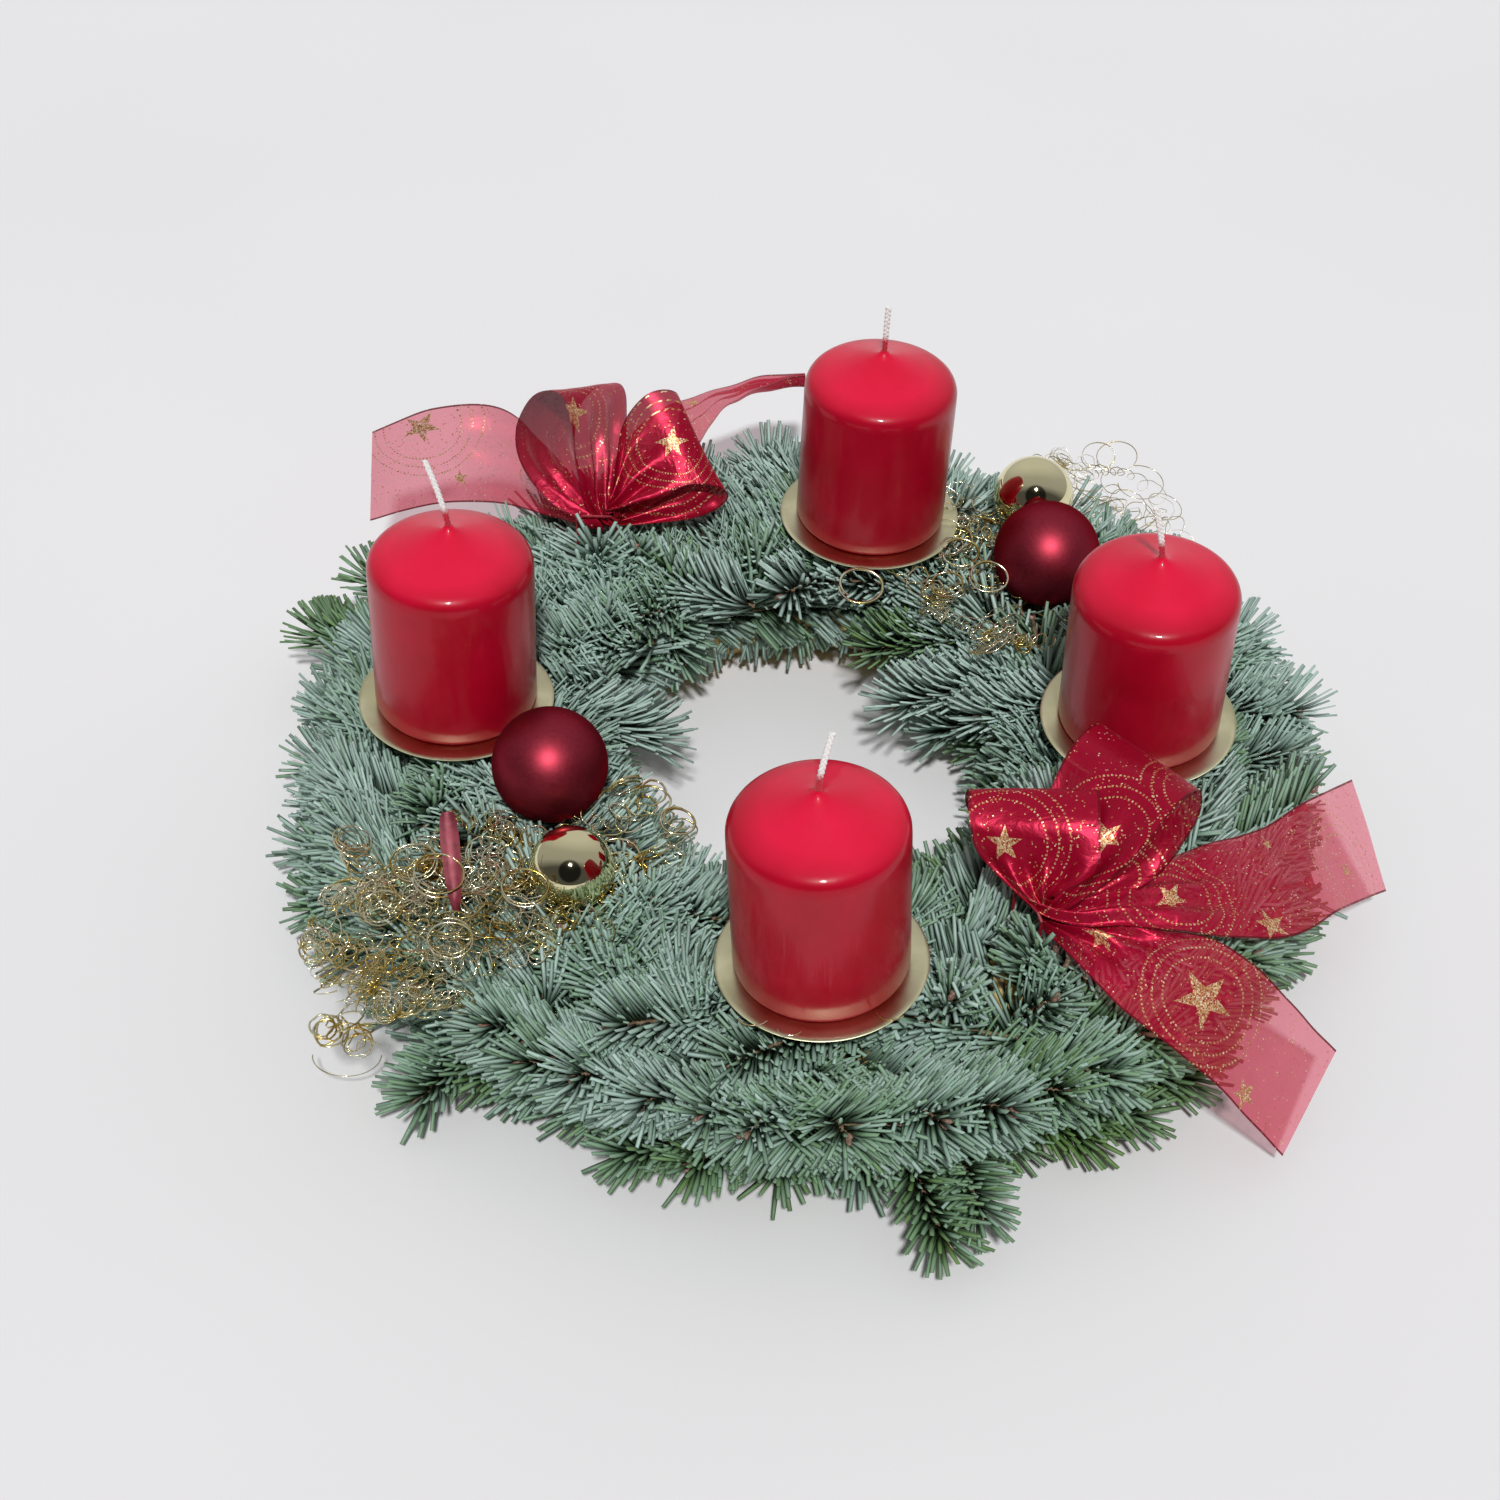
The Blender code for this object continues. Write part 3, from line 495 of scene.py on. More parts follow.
def ribbon(side, stations):
    """The sheet through the stations, with maps of the cloth and of the print, and its length."""
    sheet = start(bpy.ops.mesh.primitive_grid_add, x_subdivisions=RIBBON_COLUMNS,
                  y_subdivisions=(len(stations) - 1) * RIBBON_ROWS, size=1, calc_uvs=False)
    given = np.array(stations, float)
    centres, ways, widths, pleated = given[:, :3], given[:, 3:6], given[:, 6], given[:, 7]
    middles = smooth_between(centres / 1000, RIBBON_ROWS)
    widths = widths / 1000
    halves = smooth_between(unit(ways) * widths[:, None] / 2, RIBBON_ROWS)
    pleated = smooth_between(pleated[:, None], RIBBON_ROWS)[:, 0]
    heading = unit(np.gradient(middles, axis=0))
    out = unit(np.cross(halves, heading))
    width = 2 * np.linalg.norm(halves, axis=1)
    depth = pleated * width / (4 * PLEATS) * np.sqrt(np.maximum((RIBBON_WIDTH / width)**2 - 1, 0))
    run = np.concatenate([[0], np.cumsum(np.linalg.norm(np.diff(middles, axis=0), axis=1))])
    corners = np.empty(len(sheet.data.vertices) * 3)
    sheet.data.vertices.foreach_get("co", corners)
    grid = corners.reshape(-1, 3)
    u = 2 * grid[:, 0]
    row = np.rint((grid[:, 1] + 0.5) * (len(middles) - 1)).astype(int)
    wave = np.sin(math.pi * PLEATS * u + 0.6 + 9 * run[row]) * depth[row]
    height, turn, slant = RIPPLE
    flutter = height * np.sin(run[row] * turn + slant * u) * (1 - 0.5 * np.abs(u))
    height, turn, slant = EDGE_RIPPLE
    flutter += height * u**2 * np.sin(run[row] * turn + slant * np.sign(u))
    places = np.array(RING) + middles[row] + halves[row] * u[:, None] + out[row] * (wave + flutter)[:, None]
    sheet.data.vertices.foreach_set("co", places.ravel())
    lag = (halves * heading).sum(axis=1)
    loops = np.empty(len(sheet.data.loops), int)
    sheet.data.loops.foreach_get("vertex_index", loops)
    cloth = np.stack([u * RIBBON_WIDTH / 2, run[row] + lag[row] * u], axis=1)[loops]
    add_map(sheet, "cloth", cloth)
    middle_of_face = cloth.reshape(-1, 4, 2).mean(axis=1)
    for name, ringed_only in (("star", False), ("rings", True)):
        marks = np.array([star for star in STARS[side] if star[4] or not ringed_only])
        away = np.linalg.norm(middle_of_face[:, None] - marks[None, :, :2] / 1000, axis=2)
        nearest = marks[np.repeat(away.argmin(axis=1), 4)]
        x, y = (cloth * 1000 - nearest[:, :2]).T
        cos, sin = np.cos(np.radians(nearest[:, 3])), np.sin(np.radians(nearest[:, 3]))
        local = np.stack([x * cos - y * sin, x * sin + y * cos], axis=1)
        add_map(sheet, name, local if ringed_only else local / nearest[:, 2:3])
    pinches = RIBBON_ROWS * np.flatnonzero(widths < PINCHED)
    rows = np.arange(len(run))
    from_tails = np.minimum(rows - pinches[0], pinches[-1] - rows) / RIBBON_ROWS
    pulled = np.maximum(PULLED_LOOPS * np.clip(0.5 + from_tails / 1.5, 0, 1), PULLED_PLEATS * pleated)
    pulled = np.maximum(pulled, PULLED_KNOT - width / RIBBON_WIDTH * PULLED_KNOT).clip(0, 1)
    tight = sheet.data.attributes.new("gathered", "FLOAT", "POINT")
    tight.data.foreach_set("value", pulled[row])
    sheet.data.update()
    bpy.ops.object.shade_smooth()
    return sheet, places, float(run[-1])


# Organza: a plain weave of fine twisted threads, more hole than thread, dyed crimson. It looks
# pink over white and dark over the twigs, shines like satin where it turns, and is denser in
# the loops, where it is pulled tight and gathered, and along its wired edges. The glitter is
# flakes of gold foil glued on, some of them missing. All its sizes are in millimetres.
FLAKES_PER_MM = 2.4
FLAKES_MISSING = 0.18
STAR_WAIST = 0.40                    # how far in a star's inner corners are, of its points' reach
RING_RADII = (15.0, 19.0, 23.0)
RING_LINE = 0.36
DOT_SPACING = 1.45
SELVEDGE_FROM = 21.2
FIFTH = 2 * math.pi / 5
organza = new_material("crimson_organza", Specular_IOR_Level=0.8, Specular_Tint=colour("#ff7a9c"),
                       Sheen_Weight=0.15, Sheen_Roughness=0.35, Sheen_Tint=colour("#ff6a86"))
cloth = node(organza, "UVMap", uv_map="cloth")
in_mm = node(organza, "VectorMath", [cloth, (1000.0, 1000.0, 1000.0)], operation="MULTIPLY")
across = node(organza, "Math", [node(organza, "SeparateXYZ", [in_mm])], operation="ABSOLUTE")
flakes = node(organza, "TexVoronoi", {"Vector": in_mm, "Scale": FLAKES_PER_MM})
flake = node(organza, "SeparateXYZ", [flakes.outputs["Color"]])
# the star: fold the plane into a tenth of a turn, and ask which side of one straight edge it is
star_map = node(organza, "UVMap", uv_map="star")
star_place = node(organza, "SeparateXYZ", [star_map])
bearing = node(organza, "Math", [star_place.outputs["Y"], star_place.outputs["X"]], operation="ARCTAN2")
folded = node(organza, "Math", [bearing, FIFTH], operation="FLOORED_MODULO")
folded = node(organza, "Math", [folded, FIFTH / 2], operation="SUBTRACT")
folded = node(organza, "Math", [folded], operation="ABSOLUTE")
off_axis = node(organza, "Math", [FIFTH / 2, folded], operation="SUBTRACT")
away = node(organza, "VectorMath", [star_map], operation="LENGTH").outputs["Value"]
along_point, off_point = (
    node(organza, "Math", [away, node(organza, "Math", [off_axis], operation=part)], operation="MULTIPLY")
    for part in ("COSINE", "SINE"))
waist_x, waist_y = STAR_WAIST * math.cos(FIFTH / 2), STAR_WAIST * math.sin(FIFTH / 2)
edge_at = node(organza, "Math", [off_point, (1 - waist_x) / waist_y], operation="MULTIPLY")
edge_at = node(organza, "Math", [edge_at, along_point], operation="ADD")
printed = node(organza, "Math", [edge_at, 1.0], operation="LESS_THAN")
# the rings: thin circles, cut into dots
ring_map = node(organza, "UVMap", uv_map="rings")
from_star = node(organza, "VectorMath", [ring_map], operation="LENGTH").outputs["Value"]
ring_place = node(organza, "SeparateXYZ", [ring_map])
ring_bearing = node(organza, "Math", [ring_place.outputs["Y"], ring_place.outputs["X"]], operation="ARCTAN2")
for radius in RING_RADII:
    on_line = node(organza, "Math", [from_star, radius, RING_LINE], operation="COMPARE")
    stretch = node(organza, "Math", [ring_bearing, radius], operation="MULTIPLY")
    phase = node(organza, "Math", [stretch, DOT_SPACING], operation="FLOORED_MODULO")
    dot = node(organza, "Math", [phase, 0.5 * DOT_SPACING], operation="LESS_THAN")
    ring = node(organza, "Math", [on_line, dot], operation="MULTIPLY")
    printed = node(organza, "Math", [printed, ring], operation="MAXIMUM")
stuck = node(organza, "Math", [flake.outputs["X"], FLAKES_MISSING], operation="GREATER_THAN")
printed = node(organza, "Math", [printed, stuck], operation="MULTIPLY")
# the specks: single flakes, in loose clouds
scatter = node(organza, "TexNoise", {"Vector": in_mm, "Scale": 0.05, "Detail": 2.0})
rarity = node(organza, "MapRange", [scatter, 0.35, 0.65, 0.997, 0.962])
speck = node(organza, "Math", [flake.outputs["Z"], rarity], operation="GREATER_THAN")
glitter = node(organza, "Math", [printed, speck], operation="MAXIMUM")
gold = node(organza, "ValToRGB", [flake.outputs["Y"]],
            [(0.0, "#a8643c"), (0.55, "#dcaa6c"), (1.0, "#fff2cc")])
# the cloth: dyed, creased, and as open as its threads leave it
selvedge = node(organza, "Math", [across, SELVEDGE_FROM], operation="GREATER_THAN")
gathered = node(organza, "Attribute", attribute_name="gathered").outputs["Fac"]
depth = node(organza, "ValToRGB", [gathered], [(0.0, "#f01e4e"), (0.7, "#aa0830"), (1.0, "#92041f")])
dyed = node(organza, "MixRGB", [selvedge, depth, colour("#6d0616")])
crumple = node(organza, "TexNoise", {"Vector": in_mm, "Scale": 0.13, "Detail": 4.0, "Distortion": 0.8})
weave = node(organza, "TexWave", {"Vector": in_mm, "Scale": 0.9, "Distortion": 0.6}, bands_direction="Y")
creases = node(organza, "Bump", {"Height": crumple, "Strength": 0.3, "Distance": 0.0020})
relief = node(organza, "Bump", {"Height": flake.outputs["Z"], "Strength": glitter, "Distance": 0.0004,
                                "Normal": creases})
feed(organza, Base_Color=node(organza, "MixRGB", [glitter, dyed, gold]), Normal=relief,
     Metallic=node(organza, "MapRange", [glitter, 0.0, 1.0, 0.25, 0.5]),
     Roughness=node(organza, "MapRange", [glitter, 0.0, 1.0, 0.36, 0.42]))
threads = node(organza, "MapRange", [weave, 0.0, 1.0, 0.35, 0.44])
thread_share = node(organza, "Math", [gathered, 0.60, threads], operation="MULTIPLY_ADD")
solid = node(organza, "Math", [selvedge, 0.9], operation="MULTIPLY")
solid = node(organza, "Math", [solid, glitter], operation="MAXIMUM")
cover = node(organza, "Math", [thread_share, solid], operation="MAXIMUM")
shaders = organza.node_tree.nodes
through = node(organza, "BsdfTransparent", [colour("#ffd0d9")])
sheer = node(organza, "MixShader", [cover, through, shaders["Principled BSDF"]])
organza.node_tree.links.new(sheer.outputs[0], shaders["Material Output"].inputs["Surface"])

ribbon_points = []
for side, stations in BOWS.items():
    sheet, places, length = ribbon(side, stations)
    finish_piece(sheet, "sheer_bow_" + side, "organza", [organza], "ribbon_bow_" + side)
    ribbon_points.append(places)
ribbon_points = np.concatenate(ribbon_points)

# ---------------------------------------------------------------------------------------------
# Angel hair. Two tufts of very thin flat gilt wire that has been curled, pulled loose and laid
# round the baubles. Single curls stray over the twigs, a saucer and the table.

HAIR_WIDTH = 0.00062
HAIR_THICKNESS = 0.00014
HAIR_STEP = 0.0014
WIRE_LENGTHS = (0.14, 0.30)
CURL_RADII = (0.0028, 0.0058)        # of a wire's first curl
CURL_LIMITS = (0.0020, 0.0064)       # and of those after it
CURL_DRIFT = 0.00045                 # how far the middle of a curl moves at each step
PULL_BACK = 0.00006                  # and how hard it is drawn back to its part of the tuft
HAIR_ROOM = ((-0.2125, -0.2, 0.0008), (0.20, 0.228, 0.09))
# Each part of a tuft: its middle, its spread, how many wires it has and how broad they are.
HAIR = {
    "angel_hair_left": [
        ((-0.136, -0.112, 0.062), (0.016, 0.015, 0.0035), 20, 1.15),
        ((-0.116, -0.094, 0.062), (0.015, 0.014, 0.0035), 13, 1.15),
        ((-0.147, -0.125, 0.050), (0.011, 0.011, 0.006), 7, 1.15),
        ((-0.134, -0.078, 0.062), (0.014, 0.010, 0.003), 10, 1.15),
        ((-0.076, -0.060, 0.061), (0.011, 0.009, 0.003), 7, 1.3),
        ((-0.093, -0.101, 0.061), (0.013, 0.010, 0.003), 5, 1.15),
    ],
    "angel_hair_right": [
        ((0.060, 0.106, 0.062), (0.015, 0.016, 0.0035), 12, 1.3),
        ((0.076, 0.068, 0.062), (0.013, 0.010, 0.003), 10, 1.3),
        ((0.114, 0.148, 0.050), (0.014, 0.014, 0.006), 10, 0.7),
        ((0.131, 0.158, 0.036), (0.014, 0.014, 0.009), 6, 0.6),
    ],
}
# Each stray curl: its middle, its radius, the way it faces, its turns and how broad it is.
STRAYS = {
    "angel_hair_left": [
        ((-0.133, -0.096, 0.071), 0.0085, (0.2, -0.4, 1.0), 2.2, 1.3),
        ((-0.150, -0.108, 0.068), 0.0075, (-0.3, -0.3, 1.0), 2.6, 1.3),
        ((-0.103, -0.098, 0.069), 0.0080, (0.1, -0.5, 1.0), 1.6, 1.4),
        ((-0.166, -0.126, 0.012), 0.0120, (0.1, 0.0, 1.0), 0.5, 0.7),
        ((-0.052, -0.062, 0.066), 0.0060, (0.3, -0.2, 1.0), 1.4, 1.5),
        ((-0.088, -0.046, 0.067), 0.0070, (0.2, -0.6, 1.0), 1.2, 1.5),
        ((-0.142, -0.086, 0.068), 0.0080, (-0.1, -0.5, 1.0), 1.7, 1.3),
        ((-0.126, -0.122, 0.068), 0.0075, (0.0, -0.4, 1.0), 1.8, 1.3),
    ],
    "angel_hair_right": [
        ((0.0155, 0.067, 0.0700), 0.0085, (0.1, -0.5, 1.0), 1.15, 2.0),
        ((0.056, 0.090, 0.069), 0.0070, (0.0, -0.4, 1.0), 0.9, 1.8),
        ((0.041, 0.122, 0.070), 0.0080, (0.2, -0.6, 1.0), 0.8, 1.2),
        ((0.066, 0.074, 0.070), 0.0075, (0.1, -0.5, 1.0), 1.3, 1.8),
        ((0.128, 0.174, 0.056), 0.0085, (-0.2, -0.6, 1.0), 1.1, 0.6),
        ((0.148, 0.160, 0.040), 0.0080, (0.3, -0.2, 1.0), 1.2, 0.6),
        ((0.118, 0.164, 0.064), 0.0070, (0.0, -0.8, 1.0), 1.2, 0.7),
        ((0.136, 0.156, 0.056), 0.0095, (0.1, -0.4, 1.0), 0.8, 0.6),
        ((0.050, 0.070, 0.069), 0.0060, (-0.2, -0.4, 1.0), 1.4, 1.6),
    ],
}
# Middle and radius of the curls on the front saucer: less than half a turn each, lying flat.
SAUCER_CURLS = [((-0.024, -0.153, 0.0683), 0.0052), ((-0.012, -0.158, 0.0683), 0.0040),
                ((0.021, -0.150, 0.0683), 0.0048)]
# Spring brass wire rolled flat and gilded: it glints where a curl turns to the light, and its
# tone goes in patches from amber to pale gold.
gilt_wire = mottled("gilt_flat_wire", 85.0, 2.0, [(0.34, "#bc9a44"), (0.44, "#e2d08a"), (0.58, "#f8f2d4")],
                    Metallic=0.95, Roughness=0.16)


def curl(middle, spread, length):
    """One wire of the tuft: it wanders about its part, turning over in curls of 4 to 13 mm."""
    middle, spread = np.array(middle), np.array(spread)
    at = middle + spread * np.clip([draw.gauss(0, 0.8) for _ in range(3)], -1.7, 1.7)
    axis = unit(np.array([draw.gauss(0, 0.35), draw.gauss(0, 0.35), 1.0]))
    one = unit(np.cross(axis, [0.0, 1.0, 0.3]))
    two = np.cross(axis, one)
    heading, turn, radius = draw.uniform(0, 6.28), draw.uniform(0, 6.28), draw.uniform(*CURL_RADII)
    hand = draw.choice((-1, 1))
    points = []
    for _ in range(int(length / HAIR_STEP)):
        heading += draw.gauss(0, 0.15)
        pull = (middle - at) / spread
        step = np.array([math.cos(heading), math.sin(heading), 0.0]) * CURL_DRIFT
        at = at + step + pull * np.linalg.norm(pull) * PULL_BACK + np.array([0, 0, draw.gauss(0, 0.00015)])
        radius = min(CURL_LIMITS[1], max(CURL_LIMITS[0], radius + draw.gauss(0, 0.00025)))
        turn += hand * HAIR_STEP / radius
        points.append(at + radius * (math.cos(turn) * one + math.sin(turn) * two))
    return np.array(points)


def single(middle, radius, tilt, turns):
    """A stray curl, of so many turns."""
    middle, tilt = np.array(middle), unit(np.array(tilt))
    one = unit(np.cross(tilt, [0.0, 1.0, 0.3]))
    two = np.cross(tilt, one)
    count = int(turns * 2 * math.pi * radius / HAIR_STEP)
    turn = np.linspace(0, turns * 2 * math.pi, count)[:, None]
    return middle + radius * (np.cos(turn) * one + 0.8 * np.sin(turn) * two) + 0.0006 * turn * tilt


for name, clumps in HAIR.items():
    lines = []
    for middle, spread, wires, breadth in clumps:
        for _ in range(wires):
            lines.append((curl(middle, spread, draw.uniform(*WIRE_LENGTHS)), breadth))
    lines += [(single(*stray), breadth) for *stray, breadth in STRAYS[name]]
    if name == "angel_hair_left":
        lines += [(single(middle, radius, (0.05, 0.0, 1.0), 0.4), 1.0) for middle, radius in SAUCER_CURLS]
    section = bpy.data.curves.new("section", "CURVE")
    half = HAIR_WIDTH / 2
    add_line(section, [(-half, 0, 0), (half, 0, 0), (0, HAIR_THICKNESS, 0)]).use_cyclic_u = True
    cutter = bpy.data.objects.new("section", section)
    wires = bpy.data.curves.new("wires", "CURVE")
    wires.dimensions = "3D"
    wires.bevel_mode = "OBJECT"
    wires.bevel_object = cutter
    wires.use_fill_caps = True
    for line, breadth in lines:
        spline = add_line(wires, np.clip(line, *HAIR_ROOM) + np.array(RING))
        spline.points.foreach_set("radius", np.full(len(line), breadth))
    tuft = as_mesh(wires)
    bpy.data.objects.remove(cutter)
    finish_piece(tuft, name.replace("angel_hair", "gold_curls"), "angel_hair", [gilt_wire], name)

# ---------------------------------------------------------------------------------------------
# Foil strip. A narrow snip of matt red foil, creased along its middle, stuck upright in the
# left tuft.

STRIP_FOOT = Vector((-0.1259, -0.1062, 0.0657))
STRIP_TIP = Vector((-0.1302, -0.0800, 0.0880))
STRIP_THICKNESS = 0.0004
STRIP_CREASE = 0.0006
STRIP_BOW = 0.0008
# How far along it, and half its width there in millimetres.
STRIP_OUTLINE = [(0.0, 0.8), (0.15, 2.2), (0.4, 3.0), (0.7, 3.3), (0.92, 3.0), (1.0, 1.9)]

red_foil = mottled("matt_red_foil", 240.0, 3.0, [(0.35, "#651c28"), (0.65, "#86323f")],
                   dull=(0.3, 0.7, 0.38, 0.55), relief=(0.3, 0.0005), Metallic=0.35,
                   Specular_IOR_Level=0.4)
strip = start(bpy.ops.mesh.primitive_grid_add, x_subdivisions=4, y_subdivisions=18, size=1)
length = (STRIP_TIP - STRIP_FOOT).length
places, half_widths = zip(*STRIP_OUTLINE)
for corner in strip.data.vertices:
    share = corner.co.y + 0.5
    across = 2 * corner.co.x
    corner.co.x = across * np.interp(share, places, half_widths) / 1000
    corner.co.y = share * length
    corner.co.z = -abs(across) * STRIP_CREASE + STRIP_BOW * math.sin(math.pi * share)
thick = strip.modifiers.new("thickness", "SOLIDIFY")
thick.thickness = STRIP_THICKNESS
thick.offset = 0
bpy.ops.object.modifier_apply(modifier=thick.name)
bpy.ops.object.shade_smooth_by_angle(angle=math.radians(30))
lie = (STRIP_TIP - STRIP_FOOT).to_track_quat("Y", "Z").to_matrix().to_4x4()
strip.matrix_world = Matrix.Translation(RING + STRIP_FOOT) @ lie
finish_piece(strip, "foil_leaf", "red_foil", [red_foil], "red_foil_strip")

# ---------------------------------------------------------------------------------------------
# Noble fir. Tips cut from young branches are laid on the straw like tiles, row over row, and
# bound down bunch by bunch. Each is a brown shoot with a few resinous buds, hidden under stiff
# blunt needles that sweep up from it, blue with wax. The twigs part round whatever is pushed in.

NEEDLE_LENGTH = 0.0215
NEEDLE_WIDTH = 0.0022
NEEDLE_THICKNESS = 0.0009
NEEDLES_PER_METRE = 2700
NEEDLE_FOOT = 0.0009                 # how far from the middle of its shoot a needle starts
NEEDLE_LEAN = 56                     # from the shoot, in degrees, and how much less at its tip
TIP_LEAN = 34
TIP_LENGTH = 0.010
SHOOT_WIDTH = 0.0028
SAG = 0.10
BUD_LENGTHS = (0.0032, 0.0046)
BUD_WIDTH = 0.0024
BUD_SPLAY = 0.45
BUD_SUNK = 0.0005
GOLDEN_TURN = 2.39996


def template(cuts, widths, sides):
    """A short rod on +Z from 0 to 1, cut across at the given heights, each ring given its width."""
    rod = start(bpy.ops.mesh.primitive_cylinder_add, vertices=sides, radius=0.5, depth=1.0,
                location=(0, 0, 0.5))
    bpy.ops.object.transform_apply(location=True)
    bpy.ops.object.mode_set(mode="EDIT")
    for cut in cuts:
        bpy.ops.mesh.select_all(action="SELECT")
        bpy.ops.mesh.bisect(plane_co=(0, 0, cut), plane_no=(0, 0, 1))
    bpy.ops.object.mode_set(mode="OBJECT")
    heights = [0.0, *cuts, 1.0]
    for corner in rod.data.vertices:
        share = widths[int(np.argmin([abs(corner.co.z - height) for height in heights]))]
        corner.co.x *= share
        corner.co.y *= share
    points = np.array([corner.co[:] for corner in rod.data.vertices])
    faces = [list(face.vertices) for face in rod.data.polygons]
    bpy.data.objects.remove(rod)
    return points, faces


# Each: where it is cut across, how wide it is at its foot, its cuts and its tip, and its sides.
needle_shape = template((0.5,), (0.7, 1.0, 0.75), 3)
shoot_shape = template((0.25, 0.5, 0.75), (1.0, 0.9, 0.8, 0.72, 0.6), 6)
bud_shape = template((0.25, 0.6, 0.85), (0.55, 0.95, 1.0, 0.75, 0.3), 6)


def on_line(starts, first, last, lengths, share):
    """Where lines that leave along first and end along last are, at a share of their length."""
    return starts + lengths[:, None] * (share * first + 0.5 * share**2 * (last - first))


def laid(shape, starts, first, last, flat, lengths, widths, thicknesses):
    """Copies of a rod, each laid along its own bent line, with flat the way its width lies."""
    x, y, along = (shape[0][None, :, column, None] for column in range(3))
    line = starts[:, None] + lengths[:, None, None] * (
        along * first[:, None] + 0.5 * along**2 * (last - first)[:, None])
    heading = unit(first[:, None] + along * (last - first)[:, None])
    aside = unit(flat[:, None] - (flat[:, None] * heading).sum(axis=2, keepdims=True) * heading)
    across = np.cross(heading, aside)
    return line + aside * x * widths[:, None, None] + across * y * thicknesses[:, None, None]


def polar(angle, radius, height):
    angle = math.radians(angle)
    return np.array(RING) + np.array((radius * math.cos(angle), radius * math.sin(angle), height))


CELL = 0.002                         # what a ribbon or the strip fills is kept in cells of this size
MARGIN = 0.03
BALL_GAP = 0.0012
TABLE_GAP = 0.0006
PLATE_ROOM = (SAUCER_RADIUS + 0.0012, -0.0020, 0.0018)  # radius, below and above a saucer's top
WAX_ROOM = (0.0312, 0.0, 0.08)
PRESSED_SHARE = 0.75                 # of the needles that a tuft of angel hair lies on
crowd_low = np.array(solids_box[0]) - MARGIN
crowded = np.zeros(np.ceil((np.array(solids_box[1]) + MARGIN - crowd_low) / CELL).astype(int), bool)
cells = ((ribbon_points - crowd_low) / CELL).astype(int)
for shift in np.ndindex(3, 3, 3):
    crowded[tuple((cells + np.array(shift) - 1).T)] = True
for share in np.linspace(0, 1, 12):
    cell = ((np.array(RING + STRIP_FOOT.lerp(STRIP_TIP, share)) - crowd_low) / CELL).astype(int)
    crowded[cell[0] - 2:cell[0] + 3, cell[1] - 2:cell[1] + 3, cell[2] - 2:cell[2] + 3] = True
seats = [np.array(seat(side).inverted()) for side in SIDES]
tufts = [(np.array(RING) + np.array(middle), np.array(spread))
         for clumps in HAIR.values() for middle, spread, _, _ in clumps]


def clear(line):
    """Which needles keep clear of the balls, saucers, candles, bows, strip, tufts and table."""
    good = (line[..., 2] > TABLE_GAP).all(axis=1)
    for radius, middle, _ in BAUBLES.values():
        away = np.linalg.norm(line - np.array(RING + Vector(middle)), axis=2)
        good &= (away > radius + BALL_GAP).all(axis=1)
    for inverse in seats:
        local = line @ inverse[:3, :3].T + inverse[:3, 3]
        out, height = np.hypot(local[..., 0], local[..., 1]), local[..., 2]
        for reach, below, above in (PLATE_ROOM, WAX_ROOM):
            good &= ~((out < reach) & (height > below) & (height < above)).any(axis=1)
    cells = ((line - crowd_low) / CELL).astype(int)
    good &= ~crowded[cells[..., 0], cells[..., 1], cells[..., 2]].any(axis=1)
    pressed = np.zeros(len(line), bool)
    for middle, spread in tufts:
        off = (line[:, -1] - middle)[:, :2] / spread[:2]
        pressed |= ((off**2).sum(axis=1) < 1.7) & (line[:, -1, 2] > middle[2] - 0.002)
    return good & ~(pressed & (chance.random(len(line)) < PRESSED_SHARE))


